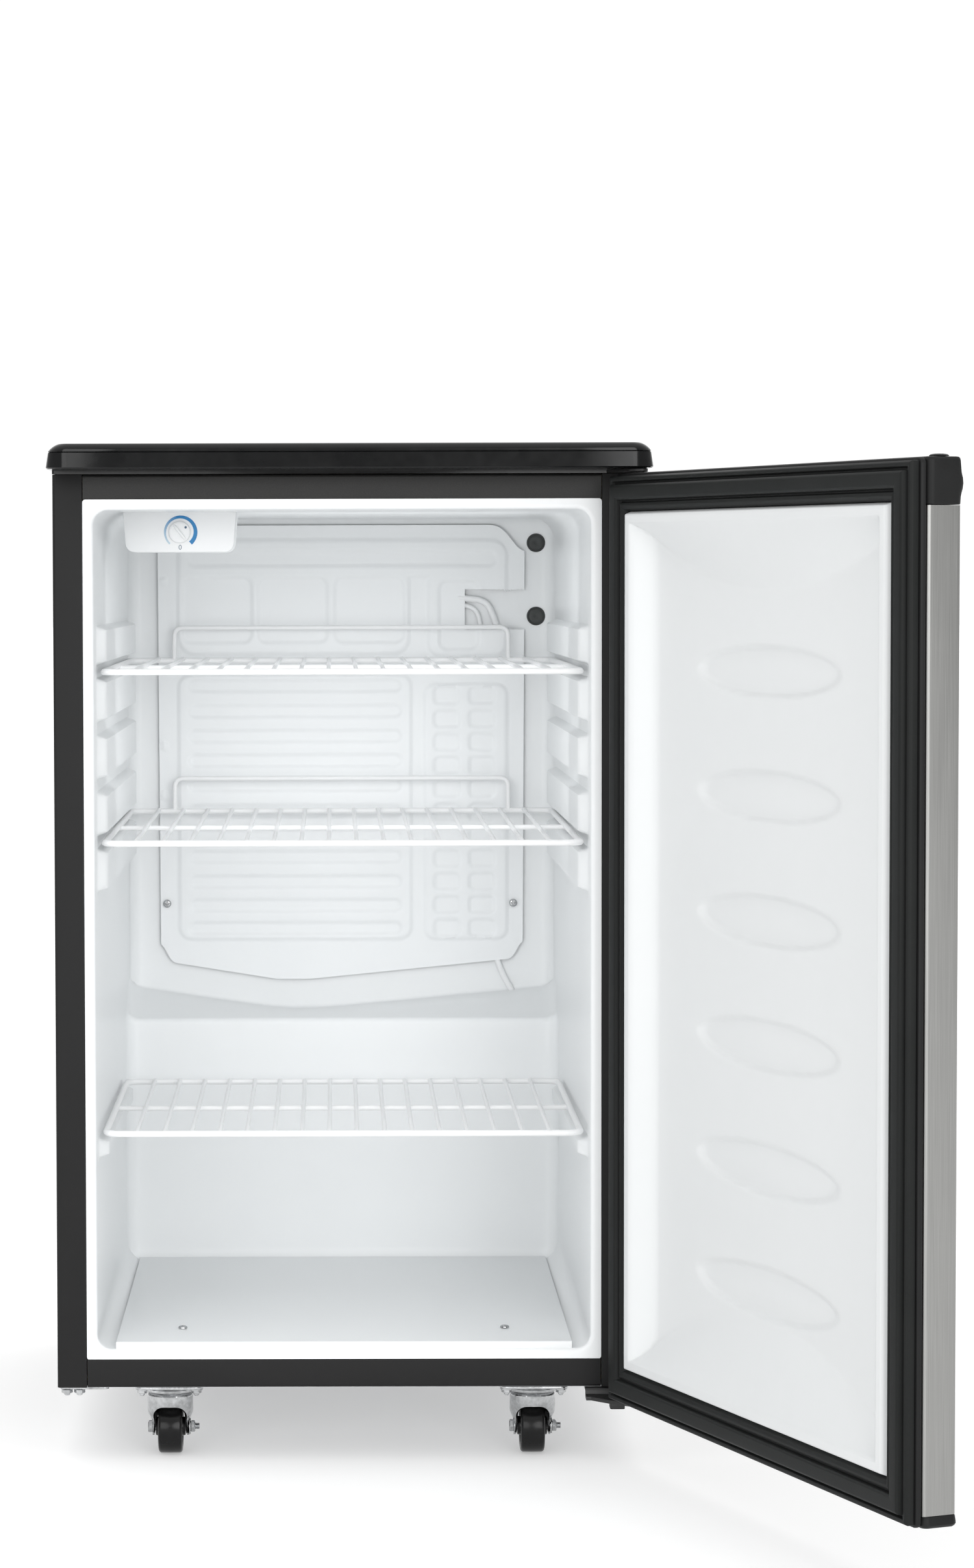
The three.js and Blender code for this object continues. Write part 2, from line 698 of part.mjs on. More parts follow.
function casterPlate(name) {
  const { plateWidth, plateDepth } = CASTER;
  const top = CAB.bottom - GAP;
  const sheet = block([-plateWidth / 2, plateWidth / 2], [-plateDepth / 2, plateDepth / 2], [top - 2.4, top]);
  const profile = [[0, -13.2], [8, -13.2], [8, -11], [5, -11], [5, -8], [21, -8], [22, -6], [18, -2], [0, -2]];
  const race = turned("z", [0, 0, top], profile, 12);
  const nuts = [-1, 1].flatMap((sideX) => [-1, 1].map((sideY) => {
    return hexagon("z", [sideX * 24, sideY * 20, top - 4.4], 9, 4.2);
  }));
  return part(`${name}_plate`, join(sheet, race, ...nuts), zinc);
}

function casterFork(name) {
  const { forkHalf, trail, wheelRadius } = CASTER;
  const crownTop = CAB.bottom - GAP - 8 - GAP;
  const crown = rod("z", [0, 0, crownTop - 1.1], 20, 2.2, 12);
  const hole = rod("z", [0, 0, crownTop], 5.6 + GAP, 20, 8);
  const bridge = block([-forkHalf, forkHalf], [-13, 13], [crownTop - 2.2, crownTop]);
  const leg = new THREE.Shape();
  leg.moveTo(-16, crownTop);
  leg.lineTo(18, crownTop);
  leg.lineTo(trail + 8, wheelRadius);
  leg.absarc(trail, wheelRadius, 8, 0, -Math.PI, true);
  leg.lineTo(-16, crownTop - 12);
  const legs = [-1, 1].map((side) => {
    const x = [side * forkHalf, side * (forkHalf - 2)].sort((a, b) => a - b);
    return alongX(leg, x, 6);
  });
  const web = block([-forkHalf, forkHalf], [-16, -14.2], [crownTop - 12, crownTop]);
  const axleHole = rod("x", [0, trail, wheelRadius], 3.5, 60, 8);
  return part(`${name}_fork`, cut(join(crown, bridge, ...legs, web), hole, axleHole), zinc);
}

const WHEEL_SIDES = 20;

// One flat of the tread faces the floor.
function casterWheel(name) {
  const { trail, wheelRadius, treadHalf, wheelHalf } = CASTER;
  const profile = [
    [3.4, -16.8],
    [8, -16.8],
    [wheelRadius - 2, -wheelHalf],
    [wheelRadius, -treadHalf],
    [wheelRadius, treadHalf],
    [wheelRadius - 2, wheelHalf],
    [8, 16.8],
    [3.4, 16.8],
    [3.4, -16.8],
  ];
  const wheel = turned("y", [0, 0, 0], profile, WHEEL_SIDES).rotateY(Math.PI / WHEEL_SIDES);
  return part(`${name}_wheel`, wheel.rotateZ(Math.PI / 2).translate(0, trail, wheelRadius), wheelRubber);
}

function casterAxle(name) {
  const { trail, wheelRadius, forkHalf } = CASTER;
  const bolt = rod("x", [0.5, trail, wheelRadius], 3, forkHalf * 2 + 9, 8);
  const head = hexagon("x", [-forkHalf - GAP - 1.8, trail, wheelRadius], 11, 3.6);
  const nut = hexagon("x", [forkHalf + GAP + 1.8, trail, wheelRadius], 11, 3.6);
  return part(`${name}_axle`, join(bolt, head, nut), zinc);
}

function caster(name, x, y) {
  const group = new THREE.Group();
  group.add(casterPlate(name), casterFork(name), casterWheel(name), casterAxle(name));
  group.position.set(x, y, 0);
  return group;
}

function casters() {
  return [
    caster("caster_front_left", -CASTER.x, CASTER.frontY),
    caster("caster_front_right", CASTER.x, CASTER.frontY),
    caster("caster_rear_left", -CASTER.x, CASTER.rearY),
    caster("caster_rear_right", CASTER.x, CASTER.rearY),
  ];
}

// ---------------------------------------------------------------- door, closed at zero turn, hung on the pin

const skinBottom = DOOR.bottom + DOOR.bottomCap + GAP;
const skinTop = DOOR.top - DOOR.topCap - GAP;

function doorSkin() {
  const { left, right, skinFront, skinBack } = DOOR;
  const outer = roundedRectangle([left, right], [skinFront, skinBack + 20], 5);
  const inner = roundedRectangle([left + 1.2, right - 1.2], [skinFront + 1.2, skinBack + 30], 4);
  const wrap = cut(alongZ(outer, [skinBottom, skinTop], 5), alongZ(inner, [skinBottom - 1, skinTop + 1], 5));
  const behind = block([left - 5, right + 5], [skinBack, 100], [0, 900]);
  return part("door_skin", cut(wrap, behind), stainless);
}

function doorCap(zRange) {
  const { left, right, skinFront, skinBack } = DOOR;
  return alongZ(roundedRectangle([left - 1, right + 0.5], [skinFront - 1, skinBack], 6), zRange, 5);
}

function pinSocket(z) {
  return rod("z", [0, 0, z], PIN_RADIUS + GAP, 26, 16);
}

function doorCapTop() {
  const { left, top, topCap } = DOOR;
  const pocket = block([left + 16, -10], [-11, 10], [0, top - 14]);
  const plugHole = rod("z", [left + 8, 0, top], 5, 12, 16);
  return part("door_cap_top", cut(doorCap([top - topCap, top]), pinSocket(top), pocket, plugHole), blackPlastic);
}

function doorCapBottom() {
  const { bottom, bottomCap } = DOOR;
  return part("door_cap_bottom", cut(doorCap([bottom, bottom + bottomCap]), pinSocket(bottom)), blackPlastic);
}

function hingeHolePlug() {
  const profile = [[0, -5], [4.4, -5], [4.4, GAP], [7.5, GAP], [7, 1.8], [0, 2.2]];
  return part("hinge_hole_plug", turned("z", [DOOR.left + 8, 0, DOOR.top], profile, 20), blackPlastic);
}

// How deep the door's inner panel lies behind its rim: a wide trough that runs out in a scoop at each end.
function dish(x, z) {
  const { left, right, bottom, top, margin, dishDepth } = DOOR;
  const across = (x - (left + right) / 2) / ((right - left) / 2 - margin);
  const trough = 1 - across * across;
  const end = Math.min(z - bottom - margin, top - margin - z) / 110;
  const scoop = THREE.MathUtils.smoothstep(end, 0.06, 1);
  return dishDepth * Math.max(0, Math.min(1, trough)) * scoop;
}

function panelBlock(y0, y1, shapeTop, shapeBottom, inset) {
  const { left, right, bottom, top, margin } = DOOR;
  const width = right - left - 2 * (margin + inset);
  const height = top - bottom - 2 * (margin + inset);
  const box = new THREE.BoxGeometry(width, y1 - y0, height, 8, 1, 14);
  box.translate((left + right) / 2, (y0 + y1) / 2, (bottom + top) / 2);
  const position = box.attributes.position;
  for (let index = 0; index < position.count; index += 1) {
    const isBack = position.getY(index) > (y0 + y1) / 2;
    if ((isBack && shapeTop) || (!isBack && shapeBottom)) {
      const depth = dish(position.getX(index), position.getZ(index));
      position.setY(index, position.getY(index) - depth);
    }
  }
  return box;
}

function doorLiner() {
  return part("door_liner", panelBlock(DOOR.rimBack - 2, DOOR.rimBack, true, true, 0.5), whitePlastic);
}

function doorFoam() {
  const { left, right, skinFront, skinBack, rimBack } = DOOR;
  const section = roundedRectangle([left + 2, right - 2], [skinFront + 2, skinBack], 4);
  const core = alongZ(section, [skinBottom + 1, skinTop - 1], 3);
  const inside = cut(core, panelBlock(skinBack - 5, skinBack + 5, false, false, -2));
  const length = block([left, right], [-50, 50], [skinBottom + 1, skinTop - 1]);
  const pad = common(panelBlock(0, rimBack - 4.5, true, false, 2), length);
  return part("door_foam", join(inside, pad), foam);
}

function ring(xRange, zRange, radius, width, yRange) {
  const outer = frontView(xRange, zRange, radius, yRange);
  const innerX = [xRange[0] + width, xRange[1] - width];
  const innerZ = [zRange[0] + width, zRange[1] - width];
  return cut(outer, frontView(innerX, innerZ, 3, [yRange[0] - 1, yRange[1] + 1]));
}

function doorFrame() {
  const { left, right, bottom, top, skinBack, frameBack, margin } = DOOR;
  const x = [left, right];
  const z = [bottom + 0.6, top - 0.6];
  return part("door_frame", ring(x, z, 5, margin, [skinBack + GAP + 0.4, frameBack]), blackPlastic);
}

function doorGasket() {
  const { left, right, bottom, top, frameBack, gasketBack, margin } = DOOR;
  const x = [left + 1, right - 0.5];
  const z = [bottom + 2, top - 2];
  const foot = ring(x, z, 4, margin - 4, [frameBack + GAP, frameBack + 6]);
  const face = ring([x[0], x[1]], z, 4, 22, [frameBack + 5, gasketBack]);
  return part("door_gasket", join(foot, face), gasketRubber);
}

function door() {
  const group = new THREE.Group();
  group.add(
    doorSkin(),
    doorCapTop(),
    doorCapBottom(),
    hingeHolePlug(),
    doorFoam(),
    doorLiner(),
    doorFrame(),
    doorGasket(),
  );
  group.position.set(DOOR.pinX, DOOR.pinY, 0);
  group.rotation.z = THREE.MathUtils.degToRad(DOOR.openAngle);
  return group;
}

// ---------------------------------------------------------------- the whole refrigerator

const fridge = new THREE.Group();
fridge.add(
  sidePanel("side_panel_left", -1, flangeLeft),
  sidePanel("side_panel_right", 1, flangeRight),
  frontRail("front_rail_top", flangeTop + GAP, CAB.top, [CAB.top - 1.5, CAB.top]),
  frontRail("front_rail_bottom", CAB.bottom, flangeBottom - GAP, [CAB.bottom + 3, CAB.bottom + 4.5]),
  backPanel(),
  basePanel(),
  worktop(),
  cabinetFoam(),
  innerLiner(),
  floorPlate(),
  ...floorScrews(),
  evaporatorPlate(),
  ...evaporatorScrews(),
  ...refrigerantLines(),
  capillarySleeve(),
  thermostatHousing(),
  thermostatBody(),
  thermostatDial(),
  ...linePlugs(),
  ...shelves(),
  compressorRail(),
  compressor(),
  relayCover(),
  filterDrier(),
  dripPan(),
  condenser(),
  cordInlet(),
  hingeBracketTop(),
  hingeBracketBottom(),
  spareHingePlate(),
  door(),
  ...casters(),
);

// The origin lies under the middle of the whole outline, with the door standing open.
const extent = new THREE.Box3().setFromObject(fridge, true);
fridge.position.set(-(extent.min.x + extent.max.x) / 2, -(extent.min.y + extent.max.y) / 2, 0);

export default fridge;
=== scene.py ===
"""A compact upright refrigerator on swivel casters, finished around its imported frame.

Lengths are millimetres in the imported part's own frame, and Shell.mesh() turns them to metres.
Each sub-assembly is a class that reads its places from the frame's nodes.
"""

import json
import logging
import math
from dataclasses import dataclass, field
from enum import Enum
from typing import Sequence

import bmesh
import bpy
import numpy as np
from mathutils import Euler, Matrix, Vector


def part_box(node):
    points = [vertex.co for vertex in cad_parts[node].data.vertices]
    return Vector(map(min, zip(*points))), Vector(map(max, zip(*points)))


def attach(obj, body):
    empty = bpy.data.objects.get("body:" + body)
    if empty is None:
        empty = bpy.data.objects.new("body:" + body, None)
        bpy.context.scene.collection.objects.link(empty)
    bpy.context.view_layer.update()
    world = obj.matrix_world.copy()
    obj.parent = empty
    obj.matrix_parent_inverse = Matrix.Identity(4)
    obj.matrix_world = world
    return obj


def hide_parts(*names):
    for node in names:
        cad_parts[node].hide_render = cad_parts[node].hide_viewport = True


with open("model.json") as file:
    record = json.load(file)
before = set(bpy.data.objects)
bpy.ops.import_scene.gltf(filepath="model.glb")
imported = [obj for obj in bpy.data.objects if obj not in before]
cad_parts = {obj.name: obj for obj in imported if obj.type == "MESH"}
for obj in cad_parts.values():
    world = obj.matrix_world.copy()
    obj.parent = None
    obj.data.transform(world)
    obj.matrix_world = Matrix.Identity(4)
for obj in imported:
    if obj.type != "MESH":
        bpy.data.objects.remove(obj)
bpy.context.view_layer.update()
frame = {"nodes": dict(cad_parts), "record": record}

MM = 0.001
LOG = logging.getLogger("refrigerator")
Colour = tuple[float, float, float]


# -------- finishes


class Grain(Enum):
    """The small relief on a finish."""

    POWDER = "fine powder paint"
    PEBBLE = "pebbled paint"
    PEEL = "the faint waves of a gloss surface"
    BRUSHED = "long brushed lines"
    CLOUDY = "soft uneven plating"
    SPANGLE = "zinc crystals"


@dataclass(frozen=True)
class Finish:
    """One procedural finish.

    The base colour drifts between dark and light in soft clouds and follows the grain a little,
    the roughness drifts over its own range, and the grain raises a bump.
    """

    name: str
    dark: Colour
    light: Colour
    rough: tuple[float, float]
    grain: Grain
    size: float
    depth: float
    metallic: float = 0.0
    specular: float = 0.5
    cloud: float = 60.0
    stretch: tuple[float, float, float] = (1.0, 1.0, 1.0)
    grain_share: float = 0.3

    def material(self) -> bpy.types.Material:
        """Makes the finish's node material once, for all its pieces to share.

        Returns:
            The material.
        """
        name = f"finish_{self.name}"
        found = bpy.data.materials.get(name)
        if found is not None:
            return found
        made = bpy.data.materials.new(name)
        made.use_nodes = True
        nodes, links = made.node_tree.nodes, made.node_tree.links
        shader = nodes["Principled BSDF"]
        shader.inputs["Metallic"].default_value = self.metallic
        shader.inputs["Specular IOR Level"].default_value = self.specular
        place = nodes.new("ShaderNodeTexCoord").outputs["Object"]
        grain = self._grain(nodes, links, place)
        clouds = nodes.new("ShaderNodeTexNoise")
        clouds.inputs["Scale"].default_value = 1 / (self.cloud * MM)
        clouds.inputs["Detail"].default_value = 4.0
        links.new(place, clouds.inputs["Vector"])
        blend = nodes.new("ShaderNodeMix")
        blend.inputs["Factor"].default_value = self.grain_share
        links.new(clouds.outputs["Fac"], blend.inputs[2])
        links.new(grain, blend.inputs[3])
        ramp = nodes.new("ShaderNodeValToRGB")
        ramp.color_ramp.elements[0].position = 0.3
        ramp.color_ramp.elements[0].color = (*self.dark, 1.0)
        ramp.color_ramp.elements[1].position = 0.7
        ramp.color_ramp.elements[1].color = (*self.light, 1.0)
        links.new(blend.outputs[0], ramp.inputs["Fac"])
        links.new(ramp.outputs["Color"], shader.inputs["Base Color"])
        sheen = nodes.new("ShaderNodeMapRange")
        sheen.inputs["From Min"].default_value = 0.3
        sheen.inputs["From Max"].default_value = 0.7
        sheen.inputs["To Min"].default_value = self.rough[0]
        sheen.inputs["To Max"].default_value = self.rough[1]
        links.new(blend.outputs[0], sheen.inputs["Value"])
        links.new(sheen.outputs["Result"], shader.inputs["Roughness"])
        bump = nodes.new("ShaderNodeBump")
        bump.inputs["Strength"].default_value = 1.0
        bump.inputs["Distance"].default_value = self.depth * MM
        links.new(grain, bump.inputs["Height"])
        links.new(bump.outputs["Normal"], shader.inputs["Normal"])
        return made

    def _grain(
        self, nodes: bpy.types.Nodes, links: bpy.types.NodeLinks, place: bpy.types.NodeSocket
    ) -> bpy.types.NodeSocket:
        """Adds the grain's pattern nodes.

        Args:
            nodes: The material's nodes.
            links: The material's links.
            place: The object coordinates.

        Returns:
            The pattern's height, from 0 to 1.
        """
        mapping = nodes.new("ShaderNodeMapping")
        mapping.inputs["Scale"].default_value = [share / (self.size * MM) for share in self.stretch]
        links.new(place, mapping.inputs["Vector"])
        if self.grain in (Grain.PEBBLE, Grain.SPANGLE):
            cells = nodes.new("ShaderNodeTexVoronoi")
            cells.feature = "SMOOTH_F1" if self.grain is Grain.PEBBLE else "F1"
            cells.inputs["Scale"].default_value = 1.0
            links.new(mapping.outputs["Vector"], cells.inputs["Vector"])
            if self.grain is Grain.PEBBLE:
                return cells.outputs["Distance"]
            grey = nodes.new("ShaderNodeSeparateColor")
            links.new(cells.outputs["Color"], grey.inputs["Color"])
            return grey.outputs["Red"]
        waves = nodes.new("ShaderNodeTexNoise")
        waves.inputs["Scale"].default_value = 1.0
        waves.inputs["Detail"].default_value = {Grain.PEEL: 1.0, Grain.CLOUDY: 3.0}.get(self.grain, 5.0)
        links.new(mapping.outputs["Vector"], waves.inputs["Vector"])
        return waves.outputs["Fac"]


CASE_PAINT = Finish(
    "case_paint", (0.0085, 0.0085, 0.0087), (0.0125, 0.0125, 0.0127), (0.45, 0.58), Grain.POWDER, 0.9, 0.03,
    specular=0.2,
)
RAIL_PAINT = Finish(
    "rail_paint", (0.012, 0.0118, 0.0115), (0.022, 0.0217, 0.021), (0.36, 0.5), Grain.PEBBLE, 1.3, 0.06,
    specular=0.3,
)
TOP_GLOSS = Finish(
    "top_gloss", (0.006, 0.0063, 0.0065), (0.009, 0.0093, 0.0095), (0.1, 0.18), Grain.PEEL, 9.0, 0.01,
    specular=0.24,
)
BLACK_PLASTIC = Finish(
    "black_plastic", (0.0095, 0.0097, 0.0098), (0.0135, 0.0138, 0.014), (0.38, 0.5), Grain.POWDER, 1.6,
    0.03, specular=0.16,
)
BRACKET_PAINT = Finish(
    "bracket_paint", (0.008, 0.008, 0.0083), (0.014, 0.014, 0.0143), (0.3, 0.5), Grain.POWDER, 1.2, 0.06
)
LINER_WHITE = Finish(
    "liner_white", (0.874, 0.892, 0.9), (0.884, 0.901, 0.909), (0.29, 0.36), Grain.PEEL, 22.0, 0.006,
    specular=0.4, cloud=160.0,
)
# Painted shade: the door panel is the liner's white plastic, darkened to hold back the strong lamp light on
# the door's inner side.
SHADED_PANEL_WHITE = Finish(
    "panel_white_shaded", (0.725, 0.74, 0.744), (0.737, 0.751, 0.755), (0.3, 0.38), Grain.PEEL, 20.0, 0.006,
    specular=0.4, cloud=180.0,
)
SMALL_WHITE = Finish(
    "small_white", (0.86, 0.873, 0.88), (0.885, 0.896, 0.903), (0.3, 0.38), Grain.POWDER, 1.0, 0.02,
    specular=0.45,
)
WIRE_WHITE = Finish(
    "wire_white", (0.88, 0.888, 0.894), (0.905, 0.911, 0.915), (0.29, 0.36), Grain.PEEL, 5.0, 0.02,
    specular=0.5,
)
PLATE_WHITE = Finish(
    "plate_white", (0.882, 0.9, 0.91), (0.894, 0.911, 0.92), (0.29, 0.36), Grain.PEEL, 16.0, 0.006,
    specular=0.45, cloud=120.0,
)
STAINLESS = Finish(
    "stainless", (0.27, 0.27, 0.263), (0.34, 0.34, 0.33), (0.3, 0.38), Grain.BRUSHED, 0.5, 0.012,
    metallic=1.0, stretch=(1, 1, 0.006), grain_share=0.85,
)
ZINC = Finish(
    "zinc", (0.32, 0.325, 0.33), (0.62, 0.63, 0.64), (0.12, 0.26), Grain.CLOUDY, 3.0, 0.05, metallic=1.0,
    cloud=12.0,
)
GALVANISED = Finish(
    "galvanised", (0.34, 0.35, 0.36), (0.52, 0.53, 0.54), (0.36, 0.56), Grain.SPANGLE, 11.0, 0.01,
    metallic=0.9, cloud=80.0,
)
FOAM = Finish("foam", (0.6, 0.52, 0.3), (0.78, 0.7, 0.45), (0.8, 0.95), Grain.PEBBLE, 2.0, 0.4)
GASKET = Finish(
    "gasket", (0.0115, 0.0125, 0.0122), (0.016, 0.017, 0.0167), (0.42, 0.52), Grain.POWDER, 2.2, 0.03,
    specular=0.12,
)
PLUG_RUBBER = Finish(
    "plug_rubber", (0.058, 0.061, 0.06), (0.078, 0.081, 0.08), (0.42, 0.55), Grain.POWDER, 1.4, 0.03,
    specular=0.2,
)
COPPER = Finish(
    "copper", (0.42, 0.19, 0.1), (0.68, 0.36, 0.22), (0.29, 0.42), Grain.CLOUDY, 5.0, 0.04, metallic=1.0,
    cloud=20.0,
)
TREAD = Finish(
    "tread", (0.005, 0.005, 0.0052), (0.009, 0.009, 0.0093), (0.16, 0.26), Grain.CLOUDY, 4.0, 0.02,
    specular=0.2,
)
DIAL_INK = Finish("dial_ink", (0.05, 0.1, 0.17), (0.08, 0.14, 0.22), (0.35, 0.45), Grain.POWDER, 0.6, 0.01)


def scale_ink() -> bpy.types.Material:
    """The blue print of the thermostat's scale, which deepens along the sweep attribute.

    Returns:
        The material.
    """
    made = bpy.data.materials.new("scale_ink")
    made.use_nodes = True
    nodes, links = made.node_tree.nodes, made.node_tree.links
    shader = nodes["Principled BSDF"]
    shader.inputs["Roughness"].default_value = 0.35
    sweep = nodes.new("ShaderNodeAttribute")
    sweep.attribute_name = "sweep"
    speck = nodes.new("ShaderNodeTexNoise")
    speck.inputs["Scale"].default_value = 900.0
    links.new(nodes.new("ShaderNodeTexCoord").outputs["Object"], speck.inputs["Vector"])
    shade = nodes.new("ShaderNodeMapRange")
    shade.inputs["To Min"].default_value = -0.04
    shade.inputs["To Max"].default_value = 0.04
    links.new(speck.outputs["Fac"], shade.inputs["Value"])
    total = nodes.new("ShaderNodeMath")
    links.new(sweep.outputs["Fac"], total.inputs[0])
    links.new(shade.outputs["Result"], total.inputs[1])
    ramp = nodes.new("ShaderNodeValToRGB")
    ramp.color_ramp.elements[0].color = (0.55, 0.68, 0.76, 1.0)
    ramp.color_ramp.elements[1].position = 0.45
    ramp.color_ramp.elements[1].color = (0.012, 0.2, 0.47, 1.0)
    links.new(total.outputs["Value"], ramp.inputs["Fac"])
    links.new(ramp.outputs["Color"], shader.inputs["Base Color"])
    return made


# -------- places


@dataclass(frozen=True)
class Box:
    """The lowest and highest corner of a node."""

    low: np.ndarray
    high: np.ndarray

    @property
    def centre(self) -> np.ndarray:
        """The middle of the box."""
        return (self.low + self.high) / 2

    @property
    def half(self) -> np.ndarray:
        """Half the box's size."""
        return (self.high - self.low) / 2


@dataclass(frozen=True)
class Place:
    """Where a sub-assembly's own axes stand: a point on the floor and a turn about the vertical."""

    x: float = 0.0
    y: float = 0.0
    turn: float = 0.0

    def out(self, points: np.ndarray) -> np.ndarray:
        """Turns points of the sub-assembly into points of the whole.

        Args:
            points: An array whose last axis is x, y, z.

        Returns:
            The same points, turned and then moved.
        """
        cosine, sine = math.cos(self.turn), math.sin(self.turn)
        x, y, z = points[..., 0], points[..., 1], points[..., 2]
        return np.stack([self.x + cosine * x - sine * y, self.y + sine * x + cosine * y, z], axis=-1)

    def box(self, node: str) -> Box:
        """Measures a CAD node along the sub-assembly's own axes.

        Args:
            node: The node's name.

        Returns:
            Its box, in millimetres.
        """
        mesh = frame["nodes"][node].data
        flat = np.zeros(len(mesh.vertices) * 3)
        mesh.vertices.foreach_get("co", flat)
        points = flat.reshape(-1, 3) / MM - (self.x, self.y, 0.0)
        cosine, sine = math.cos(self.turn), math.sin(self.turn)
        x, y = points[:, 0], points[:, 1]
        turned = np.stack([cosine * x + sine * y, cosine * y - sine * x, points[:, 2]], axis=-1)
        return Box(turned.min(0), turned.max(0))


HERE = Place()


def smoothstep(value: np.ndarray) -> np.ndarray:
    """Rises from 0 to 1 as value does, level at both ends: 3v squared less 2v cubed."""
    held = np.clip(value, 0.0, 1.0)
    return held * held * (3 - 2 * held)


# -------- mesh building


@dataclass
class Shell:
    """Surfaces gathered into one mesh, in the sub-assembly's own axes."""

    place: Place = HERE
    points: list[np.ndarray] = field(default_factory=list)
    faces: list[np.ndarray] = field(default_factory=list)

    def grid(
        self, points: np.ndarray, around: bool = False, closed: bool = False, ends: bool = False
    ) -> "Shell":
        """Adds a surface whose points are a function of two parameters.

        Args:
            points: An array of rows by columns by 3.
            around: Each row closes on itself.
            closed: The last row joins the first.
            ends: The first and last row are each filled with one flat face.

        Returns:
            The shell itself.
        """
        rows, columns = points.shape[:2]
        start = sum(len(block) for block in self.points)
        index = np.arange(rows * columns).reshape(rows, columns) + start
        if ends:
            self.faces.append(index[:1, ::-1].copy())
            self.faces.append(index[-1:].copy())
        if closed:
            index = np.vstack([index, index[:1]])
        if around:
            index = np.hstack([index, index[:, :1]])
        corners = [index[:-1, :-1], index[:-1, 1:], index[1:, 1:], index[1:, :-1]]
        self.faces.append(np.stack(corners, axis=-1).reshape(-1, 4))
        self.points.append(points.reshape(-1, 3))
        return self

    def solid(self, points: np.ndarray) -> "Shell":
        """Adds a closed body: each row closes on itself, and the first and last row are filled.

        Args:
            points: An array of rows by columns by 3.

        Returns:
            The shell itself.
        """
        return self.grid(points, around=True, ends=True)

    def hoop(self, points: np.ndarray) -> "Shell":
        """Adds a closed ring: each row closes on itself, and the last row joins the first.

        Args:
            points: An array of rows by columns by 3.

        Returns:
            The shell itself.
        """
        return self.grid(points, around=True, closed=True)

    def without(self, drop: np.ndarray) -> "Shell":
        """Takes faces off the surface that was added last.

        Args:
            drop: One truth value for each of its faces, row by row.

        Returns:
            The shell itself.
        """
        self.faces[-1] = self.faces[-1][~drop.ravel()]
        return self

    def mesh(self, name: str) -> bpy.types.Mesh:
        """Joins the gathered surfaces into one mesh in metres.

        Args:
            name: The mesh's name.

        Returns:
            The mesh.
        """
        points = self.place.out(np.vstack(self.points)) * MM
        corners = np.concatenate([block.ravel() for block in self.faces]).astype(np.int32)
        sizes = np.concatenate([np.full(len(block), block.shape[1]) for block in self.faces])
        starts = np.concatenate([[0], np.cumsum(sizes)[:-1]]).astype(np.int32)
        made = bpy.data.meshes.new(name)
        made.vertices.add(len(points))
        made.vertices.foreach_set("co", points.ravel())
        made.loops.add(len(corners))
        made.loops.foreach_set("vertex_index", corners)
        made.polygons.add(len(sizes))
        made.polygons.foreach_set("loop_start", starts)
        made.update(calc_edges=True)
        made.validate()
        return made

    def piece(
        self,
        name: str,
        finish: Finish | bpy.types.Material,
        slot: str,
        body: str = "cabinet",
        node: str = "",
        wall: float = 0.0,
        bevel: float = 0.0,
        crease: float = 32.0,
    ) -> bpy.types.Object:
        """Makes the finished piece, closed and facing out, and hangs it on its body.

        Args:
            name: The piece's name.
            finish: Its finish.
            slot: The record's material slot; not used.
            body: The body that it rides on.
            node: The CAD node that it stands for, when it hasn't the piece's own name.
            wall: The thickness given to an open surface, half to each side.
            bevel: The width of the rounding on sharp edges.
            crease: The angle in degrees past which an edge stays sharp.

        Returns:
            The piece.
        """
        made = bpy.data.objects.new(name, self.mesh(name))
        bpy.context.scene.collection.objects.link(made)
        if wall > 0:
            self._merge(made.data)
            solid = made.modifiers.new("wall", "SOLIDIFY")
            solid.thickness = wall * MM
            solid.offset = 0.0
            solid.use_even_offset = True
        if bevel > 0:
            round_off = made.modifiers.new("edge", "BEVEL")
            round_off.width = bevel * MM
            round_off.segments = 3
            round_off.limit_method = "ANGLE"
            round_off.angle_limit = math.radians(40)
        if made.modifiers:
            graph = bpy.context.evaluated_depsgraph_get()
            settled = bpy.data.meshes.new_from_object(made.evaluated_get(graph))
            made.modifiers.clear()
            made.data = settled
        self._merge(made.data)
        made.data.name = name
        made.data.shade_smooth()
        made.data.set_sharp_from_angle(angle=math.radians(crease))
        made.data.materials.clear()
        made.data.materials.append(finish.material() if isinstance(finish, Finish) else finish)
        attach(made, body)
        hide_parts(node or name)
        LOG.info("%s: %d faces on %s", name, len(made.data.polygons), body)
        return made

    @staticmethod
    def _merge(mesh: bpy.types.Mesh) -> None:
        """Welds doubled points and turns the faces outward.

        Args:
            mesh: The mesh, which is changed.
        """
        work = bmesh.new()
        work.from_mesh(mesh)
        bmesh.ops.remove_doubles(work, verts=work.verts, dist=0.002 * MM)
        bmesh.ops.recalc_face_normals(work, faces=work.faces)
        work.to_mesh(mesh)
        work.free()


